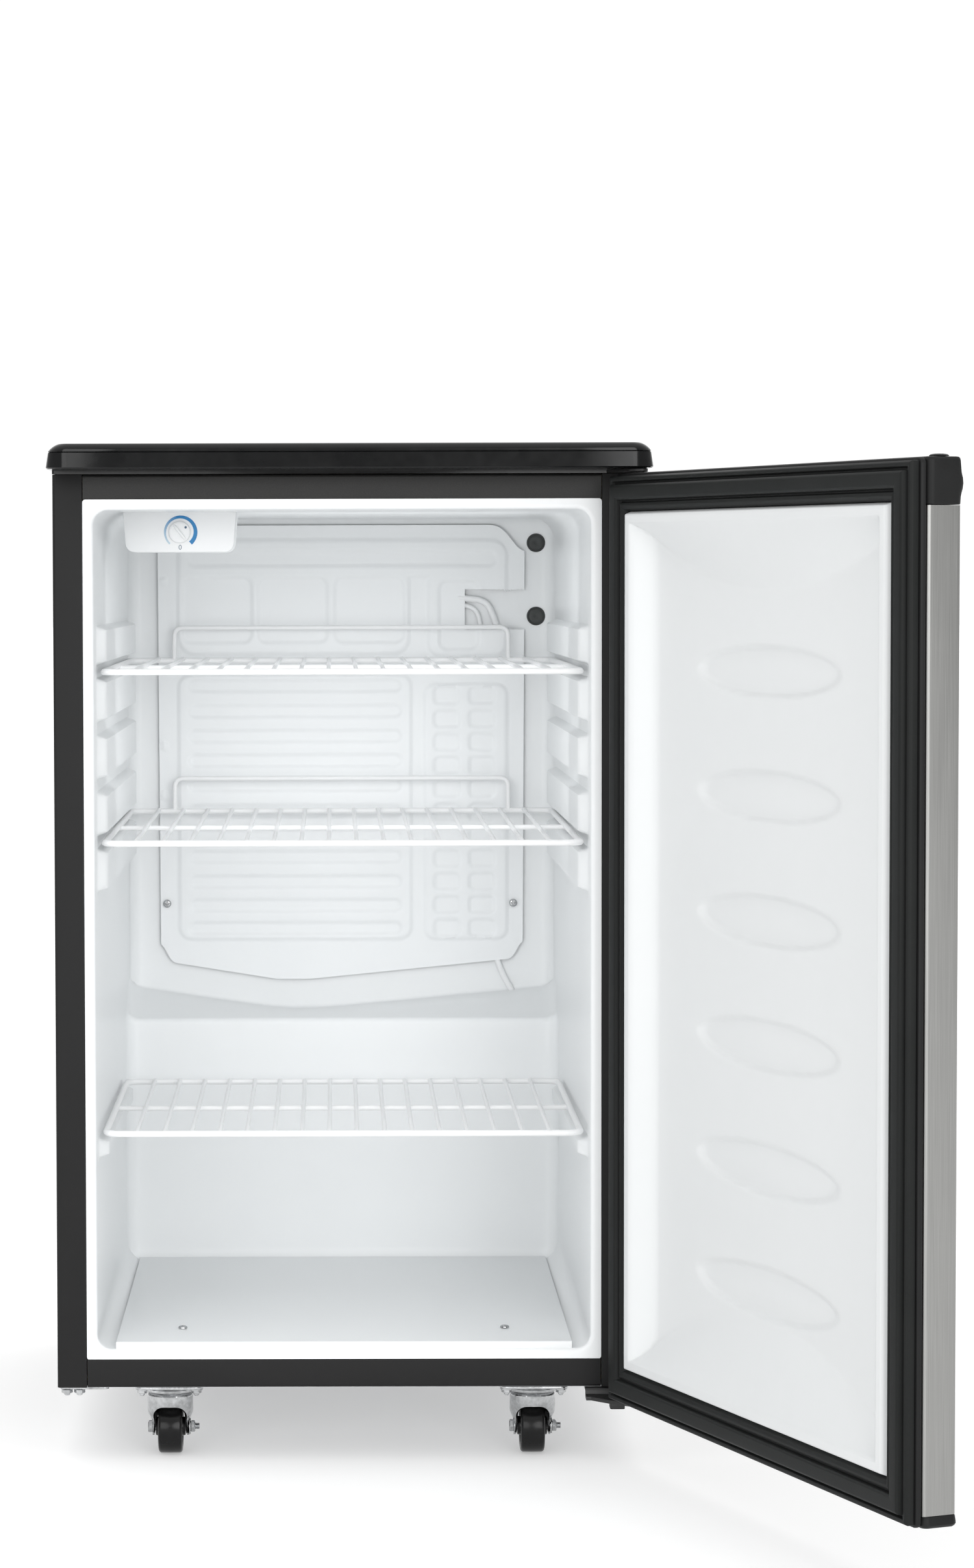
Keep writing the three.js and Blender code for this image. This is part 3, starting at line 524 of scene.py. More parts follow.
def rounded(
    points: Sequence[Sequence[float]], radius: float | Sequence[float], steps: int = 5, closed: bool = False
) -> np.ndarray:
    """Rounds the corners of a line: each corner becomes a curve that starts and ends one radius from it.

    Args:
        points: The corners.
        radius: One radius, or one for each corner.
        steps: Steps in each curve.
        closed: The line is a closed outline, so its ends are corners too.

    Returns:
        The points of the rounded line.
    """
    corners = np.asarray(points, float)
    before = np.roll(corners, 1, axis=0)
    after = np.roll(corners, -1, axis=0)
    reach = np.broadcast_to(np.asarray(radius, float), len(corners))[:, None]
    leave = before - corners
    arrive = after - corners
    leave = leave / np.linalg.norm(leave, axis=1, keepdims=True)
    arrive = arrive / np.linalg.norm(arrive, axis=1, keepdims=True)
    share = np.linspace(0, 1, steps + 1)[None, :, None]
    first, last = corners + leave * reach, corners + arrive * reach
    curve = (1 - share) ** 2 * first[:, None] + 2 * share * (1 - share) * corners[:, None]
    curve = curve + share**2 * last[:, None]
    if closed:
        return curve.reshape(-1, corners.shape[1])
    inner = curve[1:-1].reshape(-1, corners.shape[1])
    return np.vstack([corners[:1], inner, corners[-1:]])


@dataclass(frozen=True)
class Loop:
    """A rounded rectangle's stations: a share of the way to the sides, and the radius's direction."""

    spread: np.ndarray
    turn: np.ndarray

    @staticmethod
    def of(steps: int = 5, across: Sequence[float] = (), up: Sequence[float] = ()) -> "Loop":
        """Makes the stations, anticlockwise from the lower right corner.

        Args:
            steps: Steps in each corner.
            across: Stations along the top and the bottom, from 0 to 1.
            up: Stations along the sides, from 0 to 1.

        Returns:
            The loop.
        """
        signs = np.array([(1, -1), (1, 1), (-1, 1), (-1, -1)], float)
        spread, turn = [], []
        for corner in range(4):
            angle = np.radians(corner * 90 - 90 + np.linspace(0, 90, steps + 1))
            spread.append(np.repeat(signs[corner][None], steps + 1, axis=0))
            turn.append(np.stack([np.cos(angle), np.sin(angle)], axis=-1))
            between = np.asarray(up if corner % 2 == 0 else across, float)[:, None]
            if len(between):
                spread.append(signs[corner] * (1 - between) + signs[(corner + 1) % 4] * between)
                turn.append(np.repeat(turn[-1][-1:], len(between), axis=0))
        return Loop(np.vstack(spread), np.vstack(turn))

    def at(self, centre: np.ndarray, half: np.ndarray, radius: np.ndarray) -> np.ndarray:
        """Sizes the loop at several levels.

        Args:
            centre: The middle at each level, levels by 2.
            half: Half the width and height at each level, levels by 2.
            radius: The corner radius at each level.

        Returns:
            Points, levels by stations by 2.
        """
        centre, half = np.atleast_2d(centre), np.atleast_2d(half)
        radius = np.asarray(radius, float).reshape(-1, 1, 1)
        return centre[:, None] + self.spread * (half[:, None] - radius) + radius * self.turn


def stack(
    loop: Loop, low: Sequence[float], high: Sequence[float], radius: float,
    profile: Sequence[Sequence[float]], axis: int,
) -> np.ndarray:
    """Carries a profile round a rounded rectangle: each point is a loop, drawn in by its inset, at its depth.

    Args:
        loop: The stations.
        low: The rectangle's lowest corner, in the two axes other than axis.
        high: Its highest corner.
        radius: Its corner radius, which shrinks with the inset and never falls under 0.4.
        profile: Pairs of inset and depth.
        axis: The axis that depth runs along.

    Returns:
        Points, levels by stations by 3.
    """
    low, high = np.asarray(low, float), np.asarray(high, float)
    inset, depth = np.asarray(profile, float).T
    half = (high - low) / 2 - inset[:, None]
    flat = loop.at(np.broadcast_to((low + high) / 2, half.shape), half, np.maximum(radius - inset, 0.4))
    level = np.broadcast_to(depth[:, None, None], (*flat.shape[:2], 1))
    parts = [flat[..., :1], flat[..., 1:]]
    parts.insert(axis, level)
    return np.concatenate(parts, axis=-1)


def lathe(
    centre: Sequence[float], profile: Sequence[Sequence[float]], axis: int, sides: int = 32
) -> np.ndarray:
    """Turns a profile of radius and height about an axis.

    Args:
        centre: A point on the axis, where height is 0.
        profile: Pairs of radius and height.
        axis: The axis, 0 to 2.
        sides: Stations round the turn.

    Returns:
        Points, levels by sides by 3.
    """
    radius, height = np.asarray(profile, float).T
    angle = np.linspace(0, 2 * math.pi, sides, endpoint=False)
    one = radius[:, None] * np.cos(angle)
    two = radius[:, None] * np.sin(angle)
    parts = [one, two]
    parts.insert(axis, np.broadcast_to(height[:, None], one.shape))
    return np.stack(parts, axis=-1) + np.asarray(centre, float)


def tube(path: np.ndarray, radius: float, normal: Sequence[float], sides: int = 12) -> np.ndarray:
    """Carries a round section along a flat path, with a half-round end at each side.

    A point is the path's own, plus the radius times a turn between the path's flat normal and its side.

    Args:
        path: Points of the centre line.
        radius: The section's radius.
        normal: The direction square to the path's plane.
        sides: Stations round the section.

    Returns:
        Points, stations by sides by 3.
    """
    path = np.asarray(path, float)
    along = np.gradient(path, axis=0)
    along /= np.linalg.norm(along, axis=1, keepdims=True)
    dome = np.radians([85.0, 60.0, 30.0])
    reach = radius * np.sin(dome)[:, None]
    path = np.vstack([path[:1] - along[:1] * reach, path, path[-1:] + along[-1:] * reach[::-1]])
    along = np.vstack([np.repeat(along[:1], 3, axis=0), along, np.repeat(along[-1:], 3, axis=0)])
    size = np.concatenate([np.cos(dome), np.ones(len(path) - 6), np.cos(dome[::-1])]) * radius
    up = np.broadcast_to(np.asarray(normal, float), along.shape)
    side = np.cross(along, up)
    angle = np.linspace(0, 2 * math.pi, sides, endpoint=False)
    ring = np.cos(angle)[None, :, None] * up[:, None] + np.sin(angle)[None, :, None] * side[:, None]
    return path[:, None] + size[:, None, None] * ring


def prism(outline: np.ndarray, span: Sequence[float], axis: int) -> np.ndarray:
    """Carries a flat outline from one level to another along an axis.

    Args:
        outline: The outline's points in the other two axes.
        span: The two levels.
        axis: The axis, 0 to 2.

    Returns:
        Points, 2 by stations by 3.
    """
    flat = np.broadcast_to(outline, (2, *outline.shape))
    parts = [flat[..., 0], flat[..., 1]]
    parts.insert(axis, np.broadcast_to(np.asarray(span, float)[:, None], flat.shape[:2]))
    return np.stack(parts, axis=-1)


def slab(
    low: Sequence[float], high: Sequence[float], radius: float, edge: float, axis: int, steps: int = 5
) -> np.ndarray:
    """A rounded-corner plate whose two faces have rounded edges.

    Args:
        low: The lowest corner.
        high: The highest corner.
        radius: The corner radius.
        edge: The rounding between the faces and the sides.
        axis: The axis square to the faces.
        steps: Steps in each corner.

    Returns:
        Points, levels by stations by 3.
    """
    quarter = np.radians(np.linspace(0, 90, 4))
    inset, rise = edge * (1 - np.sin(quarter)), edge * (1 - np.cos(quarter))
    bottom = np.stack([inset, low[axis] + rise], axis=-1)
    top = np.stack([inset[::-1], high[axis] - rise[::-1]], axis=-1)
    others = [index for index in range(3) if index != axis]
    low_flat, high_flat = [low[index] for index in others], [high[index] for index in others]
    return stack(Loop.of(steps), low_flat, high_flat, radius, np.vstack([bottom, top]), axis)


def hexagon(centre: Sequence[float], radius: float, span: Sequence[float], axis: int) -> np.ndarray:
    """A six-sided nut or head with its corners turned off at both faces.

    Args:
        centre: A point on its axis.
        radius: The distance from its axis to a corner.
        span: Its two faces, measured along the axis from centre.
        axis: The axis, 0 to 2.

    Returns:
        Points, levels by sides by 3.
    """
    low, high = span
    chamfer = radius * 0.12
    profile = [
        (0.02, low), (radius - chamfer, low), (radius, low + chamfer), (radius, high - chamfer),
        (radius - chamfer, high), (0.02, high),
    ]
    return lathe(centre, profile, axis, 6)


# -------- the case


@dataclass
class Case:
    """The folded steel sheets and the moulded worktop."""

    sheet: float = 1.5
    fold: float = 2.6
    rail_sheet: float = 1.2
    worktop_end: float = 15.5
    worktop_nose: float = 6.0
    worktop_plan: float = 20.0
    worktop_seam: float = 7.0
    inlay_depth: float = 0.7
    skirt_height: float = 3.4
    skirt_inset: float = 3.6
    bay_height: float = 218.8
    press: float = 2.0
    press_round: float = 22.0
    press_half: float = 210.0

    def build(self) -> None:
        """Makes the sides, rails, worktop and back sheet, and finishes the base and the foam."""
        self.side("side_panel_left", -1)
        self.side("side_panel_right", 1)
        self.rail("front_rail_top", 1, RAIL_PAINT, "grained_rail")
        self.rail("front_rail_bottom", -1, CASE_PAINT, "grained_rail")
        self.worktop()
        self.back()
        dress("base_panel", GALVANISED)
        dress("cabinet_foam", FOAM)

    def side(self, node: str, hand: int) -> None:
        """A side sheet, folded round the front corner into its flange.

        Args:
            node: The node it stands for.
            hand: -1 on the left and 1 on the right.
        """
        box = HERE.box(node)
        outer, edge = (box.high[0], box.low[0]) if hand > 0 else (box.low[0], box.high[0])
        half = self.sheet / 2
        corner = outer - hand * half
        front, back = box.low[1] + half, box.high[1]
        line = rounded([(edge, front), (corner, front), (corner, back)], self.fold, 7)
        levels = (box.low[2], box.high[2])
        Shell().grid(prism(line, levels, 2)).piece(
            node, CASE_PAINT, "black_steel", wall=self.sheet, bevel=0.3
        )

    def rail(self, node: str, hand: int, finish: Finish, slot: str) -> None:
        """A front rail: a face with a flange turned in at one edge and a short hem at the other.

        Args:
            node: The node it stands for.
            hand: 1 when the flange is at the top.
            finish: The rail's finish.
            slot: The record's slot.
        """
        box = HERE.box(node)
        half = self.rail_sheet / 2
        far = box.high[2] - half if hand > 0 else box.low[2] + half
        near = box.low[2] + half if hand > 0 else box.high[2] - half
        front = box.low[1] + half
        line = rounded(
            [(box.high[1], far), (front, far), (front, near), (front + 2.6, near)], [1, 2.2, 1.4, 1], 5
        )
        span = (box.low[0], box.high[0])
        Shell().grid(prism(line, span, 0)).piece(node, finish, slot, wall=self.rail_sheet)

    def worktop(self) -> None:
        """The worktop: loops in plan, drawn in further at the ends than at the front as they rise.

        At height h below the top, a round nose of radius R is drawn in by R less the root of
        R squared less (R - h) squared. The ends use their own larger radius.
        """
        box = HERE.box("worktop")
        top = box.high[2]
        bottom = box.low[2] + self.skirt_height
        loop = Loop.of(10, np.linspace(0, 1, 12)[1:-1], np.linspace(0, 1, 12)[1:-1])
        seam = top - self.worktop_seam
        heights = np.concatenate([
            [bottom, bottom + 1.2, seam - 1.0, seam - 0.4, seam],
            top - self.worktop_end * (1 - np.sin(np.radians(np.linspace(38, 90, 12)))),
        ])
        below = np.where(heights < seam - 0.2, self.inlay_depth, 0.0)
        step = np.array([0.9, 0.0, 0.0, 0.5, 0.0] + [0.0] * 12) + below
        step[0] += 0.4

        def nose(radius: float) -> np.ndarray:
            """How far a round nose of this radius is drawn in at each height."""
            rise = np.clip(heights - (top - radius), 0, radius)
            return radius - np.sqrt(radius**2 - rise**2)

        ends, front = nose(self.worktop_end), nose(self.worktop_nose)
        half = box.half[:2] - self.worktop_plan
        rows = []
        share = np.abs(loop.turn[:, 0]) ** 1.5
        for end, face, inlay in zip(ends, front, step):
            inset = end * share + face * (1 - share) + inlay
            reach = np.maximum(self.worktop_plan - inset, 0.5)[:, None]
            extra = np.minimum(self.worktop_plan - inset, 0)[:, None]
            rows.append(box.centre[:2] + loop.spread * (half + extra) + reach * loop.turn)
        flat = np.stack(rows)
        level = np.broadcast_to(heights[:, None, None], (*flat.shape[:2], 1))
        shell = Shell().solid(np.concatenate([flat, level], axis=-1))
        inner = self.skirt_inset
        low = (box.low[0] + inner, HERE.box("side_panel_left").low[1] + 1.0)
        high = (box.high[0] - inner, box.high[1] - inner)
        skirt = [(0, bottom + 1), (0, box.low[2]), (2.4, box.low[2]), (2.4, bottom + 1)]
        shell.hoop(stack(Loop.of(3), low, high, 3.0, skirt, 2))
        shell.piece("worktop", TOP_GLOSS, "black_gloss", crease=24)

    def back(self) -> None:
        """The back sheet, with shallow fields pressed outward that stiffen it above the machine bay."""
        box = HERE.box("back_panel")
        bay = HERE.box("inner_liner").low[2] + self.bay_height
        across = np.linspace(box.low[0], box.high[0], 90)
        up = np.linspace(bay, box.high[2], 96)
        x, z = np.meshgrid(across, up)
        press = np.zeros_like(x)
        rise = (box.high[2] - bay) / 3
        for row in range(3):
            middle = bay + rise * (row + 0.5)
            gap = rounded_distance(
                x - box.centre[0], z - middle, self.press_half, rise / 2 - 18, self.press_round
            )
            press += self.press * smoothstep(-gap / 9)
        y = box.high[1] - self.sheet / 2 + press
        sheet = np.stack([x, y, z], axis=-1)
        depth = HERE.box("compressor_rail").low[1] - 1.15
        lower = rounded([(box.high[1] - 1, bay), (depth, bay), (depth, box.low[2])], 3.0, 4)
        shell = Shell().grid(sheet).grid(prism(lower, (box.low[0], box.high[0]), 0))
        shell.piece("back_panel", GALVANISED, "galvanised", wall=1.2)


def rounded_distance(
    x: np.ndarray, z: np.ndarray, half_x: float, half_z: float, radius: float
) -> np.ndarray:
    """Distance to a rounded rectangle about the origin, negative inside.

    Args:
        x: Distance across from the middle.
        z: Distance up from the middle.
        half_x: Half the width.
        half_z: Half the height.
        radius: The corner radius.

    Returns:
        The signed distance at each point.
    """
    over_x = np.abs(x) - half_x + radius
    over_z = np.abs(z) - half_z + radius
    outside = np.hypot(np.maximum(over_x, 0), np.maximum(over_z, 0))
    return outside + np.minimum(np.maximum(over_x, over_z), 0) - radius


def dress(node: str, finish: Finish) -> None:
    """Gives a CAD node that stays as it is its finish.

    Args:
        node: The node's name.
        finish: Its finish.
    """
    shown = frame["nodes"][node]
    if shown.material_slots:
        for material_slot in shown.material_slots:
            material_slot.material = finish.material()
    else:
        shown.data.materials.append(finish.material())
    LOG.info("%s: finished as %s", node, finish.name)


# -------- the liner


@dataclass
class Liner:
    """The moulded white inside: a sleeve from the rim back, and one sheet that closes its far end."""

    wall: float = 2.0
    flange: tuple[float, float, float] = (7.8, 6.7, 7.2)
    flange_radius: float = 2.0
    rim_round: float = 3.2
    front_radius: float = 14.0
    back_radius: float = 24.0
    draft: float = 4.0
    hump_depth: float = 457.0
    ledge: float = 243.0
    floor_round: float = 17.0
    ledge_round: float = 6.0
    back_round: float = 18.0
    crease_round: float = 6.0
    side_round: float = 14.0
    rib_reach: float = 9.0
    rib_edge: float = 4.0
    rib_start: float = 24.0
    rib_rise: float = 18.0
    rib_fade: float = 12.0
    rib_deep: float = 498.0
    rib_shallow: float = 417.0
    slot: float = 12.0

    def build(self) -> None:
        """Measures the liner, then makes both surfaces as one piece with its wall."""
        box = HERE.box("inner_liner")
        side, under, over = self.flange
        self.centre = box.centre[0]
        self.half = box.half[0] - side
        self.floor, self.top = box.low[2] + under, box.high[2] - over
        self.front, self.back = box.low[1], box.high[1] - 2.5
        self.hump = self.front + self.hump_depth
        shell = Shell()
        self._sleeve(shell)
        self._far_end(shell)
        shell.piece("inner_liner", LINER_WHITE, "white_liner", wall=self.wall, crease=50)

    def _width(self, y: np.ndarray) -> np.ndarray:
        """Half the width inside at a depth: the side walls draw in evenly."""
        return self.half - self.draft * np.clip((y - self.front) / (self.back - self.front), 0, 1)

    def _sleeve(self, shell: Shell) -> None:
        """The sleeve: rounded rectangles from the flange round the rim and back, open behind the hump.

        Args:
            shell: The shell that it joins.
        """
        quarter = np.radians(np.linspace(0, 90, 7))
        rim = self.rim_round
        plain = np.unique(np.concatenate([
            np.linspace(self.front + 8, self.hump + 1, 24),
            np.linspace(self.hump + 1, self.back - 8, 5),
            self.front + self.rib_start + np.linspace(0, self.rib_rise, 7),
            self.front + self.rib_shallow - np.linspace(self.rib_fade, 0, 5),
            self.front + self.rib_deep - np.linspace(self.rib_fade, 0, 5),
        ]))
        deep = np.concatenate(
            [[self.front + 2.2, self.front], self.front + rim * (1 - np.cos(quarter)), plain]
        )
        out = np.concatenate(
            [[self.flange[0] - 0.6] * 2, rim * (1 - np.sin(quarter)), np.zeros(len(plain))]
        )
        growth = (self.back_radius - self.front_radius) * smoothstep((deep - self.front) / 300)
        radius = self.front_radius + growth + out
        radius[:2] = self.flange_radius
        heights = self._side_heights()
        loop = Loop.of(8, np.linspace(0, 1, 32)[1:-1], np.linspace(0, 1, len(heights) + 2)[1:-1])
        half = np.stack([self._width(deep) + out, (self.top - self.floor) / 2 + out], axis=-1)
        middle = np.broadcast_to((self.centre, (self.top + self.floor) / 2), half.shape)
        flat = loop.at(middle, half, radius)
        x, z = flat[..., 0].copy(), flat[..., 1].copy()
        y = np.broadcast_to(deep[:, None], x.shape)
        for hand in (1, -1):
            on_side = (loop.spread[:, 0] == hand) & (np.abs(loop.spread[:, 1]) < 1)
            z[:, on_side] = heights[::hand]
            x[:, on_side] -= self._ribs(y[:, on_side], z[:, on_side]) * hand
        points = np.stack([x, y, z], axis=-1)
        pairs = points[1:] + points[:-1]
        middles = (pairs + np.roll(pairs, -1, axis=1)) / 4
        shell.grid(points, around=True)
        shell.without((middles[..., 1] > self.hump + 1) & (middles[..., 2] < self.floor + self.ledge - 3))

    def _far_end(self, shell: Shell) -> None:
        """The far end: a line that climbs the hump, the ledge and the back wall, carried across.

        Near each side wall every point moves in square to the line by r less the root of r squared less
        (r - d) squared, where d is its distance to the wall, so the sheet meets the wall in a fillet.

        Args:
            shell: The shell that it joins.
        """
        ledge = self.floor + self.ledge
        corners = [
            (self.hump - 60, self.floor), (self.hump, self.floor), (self.hump, ledge), (self.back, ledge),
            (self.back, self.top), (self.back - 60, self.top),
        ]
        line = rounded(
            corners, [1, self.floor_round, self.ledge_round, self.crease_round, self.back_round, 1], 10
        )[1:-1]
        line = np.vstack([np.linspace(a, b, 3)[:-1] for a, b in zip(line, line[1:])] + [line[-1:]])
        along = np.gradient(line, axis=0)
        along /= np.linalg.norm(along, axis=1, keepdims=True)
        square = np.stack([-along[:, 1], along[:, 0]], axis=-1)
        r = self.side_round
        near = r * (1 - np.cos(np.radians(np.linspace(0, 90, 8))))
        width = self._width(line[:, 0])[:, None]
        unit = np.linspace(-1, 1, 44)[None] * (1 - r / width)
        share = np.concatenate([near / width - 1, unit[:, 1:-1], 1 - near[::-1] / width], axis=1)
        gap = (1 - np.abs(share)) * width
        fillet = r - np.sqrt(np.maximum(r**2 - np.maximum(r - gap, 0) ** 2, 0))
        x = self.centre + share * width
        y = line[:, :1] + square[:, :1] * fillet
        z = line[:, 1:] + square[:, 1:] * fillet
        rise = smoothstep((line[:, :1] - self.hump - 4) / 50)
        rise = rise * smoothstep((self.top - 120 - line[:, 1:]) / 300)
        shell.grid(np.stack([x, y, z + rise * self._gutter(x)], axis=-1))

    def _gutter(self, x: np.ndarray) -> np.ndarray:
        """The drain gutter above the ledge: two slopes that meet at a rounded low point.

        Args:
            x: Places across.

        Returns:
            The gutter's height at each.
        """
        offset = x - self.centre + 45
        slope = np.where(offset < 0, -0.155 * offset, 0.1 * offset)
        return np.sqrt(slope**2 + 16) - 2

    def _spans(self) -> list[tuple[float, float, float]]:
        """The moulded ribs, with a slot between them at each shelf level.

        Returns:
            Each rib's two heights and the depth where it ends.
        """
        half = self.slot / 2
        rail = Shelf.rail
        slots = [HERE.box(node).low[2] + rail for node in ("shelf_top", "shelf_middle")]
        rise = (slots[0] - slots[1]) / 3
        levels = [slots[0] - rise * index for index in range(4)]
        lowest = HERE.box("shelf_bottom").low[2] + rail
        deep, shallow = self.front + self.rib_deep, self.front + self.rib_shallow
        pairs = [(lower + half, upper - half, deep) for upper, lower in zip(levels, levels[1:])]
        ends = [(levels[0] + half, levels[0] + 40, deep), (levels[-1] - 44, levels[-1] - half, deep)]
        return pairs + ends + [(lowest - 24, lowest - half, shallow)]

    def _side_heights(self) -> np.ndarray:
        """Places the side walls' stations, close together where a rib starts or ends.

        Returns:
            Their heights.
        """
        even = np.linspace(self.floor + self.back_radius + 4, self.top - self.back_radius - 4, 44)
        edge = np.linspace(0, self.rib_edge, 4)
        close = [np.concatenate([low + edge, high - edge]) for low, high, _ in self._spans()]
        heights = np.unique(np.round(np.concatenate([even, *close]), 2))
        keep = np.concatenate([[True], np.diff(heights) > 0.6])
        return heights[keep]

    def _ribs(self, y: np.ndarray, z: np.ndarray) -> np.ndarray:
        """How far the side walls stand in: each rib is a product of smooth steps in height and depth.

        Args:
            y: The depth of each point.
            z: Its height.

        Returns:
            The distance that each point moves in.
        """
        reach = np.zeros_like(y)
        for low, high, end in self._spans():
            upright = smoothstep((z - low) / self.rib_edge) * smoothstep((high - z) / self.rib_edge)
            begun = smoothstep((y - self.front - self.rib_start) / self.rib_rise)
            reach += upright * begun * smoothstep((end - y) / self.rib_fade)
        return reach * self.rib_reach


@dataclass
class FloorPlate:
    """The loose plate on the liner's floor, with its screws."""

    sheet: float = 1.2

    def build(self) -> None:
        """Makes the plate with its turned-down front lip, and two pan-head screws."""
        box = HERE.box("floor_plate")
        top = box.high[2] - 1.5 - self.sheet / 2
        front = box.low[1] + self.sheet / 2
        corners = [(front, box.low[2]), (front, top + 0.8), (front + 9, top), (box.high[1], top)]
        line = rounded(corners, [1, 1.6, 4, 1], 5)
        shell = Shell().grid(prism(line, (box.low[0], box.high[0]), 0))
        shell.piece("floor_plate", LINER_WHITE, "white_liner", wall=self.sheet, bevel=0.25)
        for hand in ("left", "right"):
            node = f"floor_screw_{hand}"
            screw = HERE.box(node)
            seat = (screw.centre[0], screw.centre[1], screw.low[2])
            cross_screw(node, seat, screw.half[0], screw.half[2] * 2, 2, 1)


def cross_screw(
    node: str, centre: Sequence[float], radius: float, height: float, axis: int, hand: int
) -> None:
    """A pan-head screw: a dome of circles, with a cross pressed in where an arm is close.

    Args:
        node: The node it stands for.
        centre: The middle of its seat.
        radius: The head's radius.
        height: The head's height.
        axis: The axis it points along.
        hand: 1 or -1 along that axis.
    """
    share = np.array([0.02, 0.12, 0.22, 0.3, 0.38, 0.46, 0.54, 0.62, 0.72, 0.84, 0.94, 1.0, 1.0])
    angle = np.linspace(0, 2 * math.pi, 48, endpoint=False)
    one = radius * share[:, None] * np.cos(angle)
    two = radius * share[:, None] * np.sin(angle)
    dome = height * np.sqrt(np.maximum(1 - (share * 0.92) ** 4, 0))[:, None]
    dome[-1] = 0.0
    arm = np.minimum(np.abs(one), np.abs(two)) / radius
    pressed = smoothstep((0.16 - arm) / 0.06) * smoothstep((0.62 - np.hypot(one, two) / radius) / 0.08)
    level = (dome * (1 - 0.45 * pressed)) * hand
    parts = [one, two]
    parts.insert(axis, level)
    points = np.stack(parts, axis=-1) + np.asarray(centre, float)
    Shell().solid(points).piece(node, ZINC, "zinc", crease=40)


# -------- the evaporator


@dataclass
class Evaporator:
    """The pressed plate at the back, its screws, and the lines that lead into it."""

    press: float = 2.0
    slope: float = 2.7
    grid_step: float = 1.9
    sheet: float = 1.2
    notch: tuple[float, float, float] = (124.3, 727.0, 767.5)
    lines: tuple[tuple[str, float], ...] = (("suction_line", 3.4), ("capillary_line", 2.4))
    sleeve_radius: float = 3.2

    def build(self) -> None:
        """Makes the plate as a height field and the parts beside it."""
        self.box = HERE.box("evaporator_plate")
        self.centre = self.box.centre[0]
        self._plate()
        self._lines()
        for hand in ("left", "right"):
            node = f"evaporator_screw_{hand}"
            screw = HERE.box(node)
            seat = (screw.centre[0], screw.high[1], screw.centre[2])
            cross_screw(node, seat, screw.half[0], screw.half[1] * 2, 1, -1)
        for name in ("upper", "lower"):
            self._plug(f"line_plug_{name}")

    def _relief(self, x: np.ndarray, z: np.ndarray) -> np.ndarray:
        """The pressed height: raised fields less the slots and windows in them, each a step over its edge.

        Args:
            x: Distance right of the plate's middle.
            z: Height.

        Returns:
            How far each point stands out of the sheet.
        """
        def field_at(low: Sequence[float], high: Sequence[float], radius: float) -> np.ndarray:
            """A field between two corners: 1 inside it and 0 outside, with a step at its edge."""
            middle = ((low[0] + high[0]) / 2, (low[1] + high[1]) / 2)
            gap = rounded_distance(
                x - middle[0], z - middle[1], (high[0] - low[0]) / 2, (high[1] - low[1]) / 2, radius
            )
            return smoothstep(0.5 - gap / self.slope)

        raised = [
            field_at((-163, 703), (68, 817), 16),
            field_at((-60, 780), (166, 817), 16),
            field_at((88, 700), (166, 800), 14),
            field_at((-163, 416), (70, 682), 12),
            field_at((84, 416), (166, 672), 10),
        ]
        sunk = [field_at((left, 714), (left + 70, 780), 9) for left in (-159.5, -83.5, -6.5)]
        sunk.append(field_at((98, 707), (138, 776), 9))
        sunk.append(field_at((-154, 791), (156, 806), 7))
        for level in (671, 645.5, 620.5, 596, 571, 545, 520, 499, 474, 450, 427):
            sunk.append(field_at((-153, level - 6), (60, level + 6), 6))
        for row in range(11):
            level = 661 - row * 23.4
            sunk.append(field_at((93, level - 8.5), (119, level + 8.5), 5))
            sunk.append(field_at((128, level - 8.5), (154, level + 8.5), 5))
        dimples = [field_at((-181, level - 4), (-175, level + 4), 2.9) for level in (611, 561, 776)]
        lifted = np.maximum.reduce(raised) * (1 - 0.9 * np.maximum.reduce(sunk))
        return self.press * np.maximum(lifted, 0.7 * np.maximum.reduce(dimples))

    def _plate(self) -> None:
        """The sheet: its lower edge hangs in a wide V, and a notch is cut in its right side for the lines."""
        low, high = self.box.low, self.box.high
        half = self.box.half[0]
        left, notch_low, notch_high = self.notch
        across = np.linspace(-1, 1, int(2 * half / self.grid_step))
        across = np.unique(np.append(across, left / half))
        bend = half * across
        right_end, left_end = smoothstep((bend - half + 18) / 18), smoothstep((-bend - half + 18) / 18)
        vee = low[2] + np.maximum(np.where(bend < -49, -0.16 * (bend + 66), 0.098 * (bend + 32)), 0)
        lower = vee + 16 * (left_end**2 + right_end**2)
        upper = high[2] - 26 * smoothstep((bend - half + 40) / 40) ** 2 - 3 * left_end**2
        rise = np.linspace(0, 1, int((high[2] - low[2]) / self.grid_step))
        z = lower[None] + (upper - lower)[None] * rise[:, None]
        near_low = np.abs(z - notch_low) < self.grid_step * 0.51
        near_high = np.abs(z - notch_high) < self.grid_step * 0.51
        snapped = np.where(near_low, notch_low, np.where(near_high, notch_high, z))
        z = np.where(bend > left - 6, snapped, z)
        x = np.broadcast_to(bend, z.shape) * (1 - 0.01 * (1 - rise[:, None]))
        y = high[1] - 1.1 - self._relief(x, z)
        points = np.stack([x + self.centre, y, z], axis=-1)
        middle_x = (x[:-1, :-1] + x[1:, 1:]) / 2
        middle_z = (z[:-1, :-1] + z[1:, 1:]) / 2
        hole = (middle_x > left * 0.995) & (middle_z > notch_low) & (middle_z < notch_high)
        shell = Shell().grid(points).without(hole)
        shell.piece("evaporator_plate", PLATE_WHITE, "evaporator_white", wall=self.sheet, crease=60)

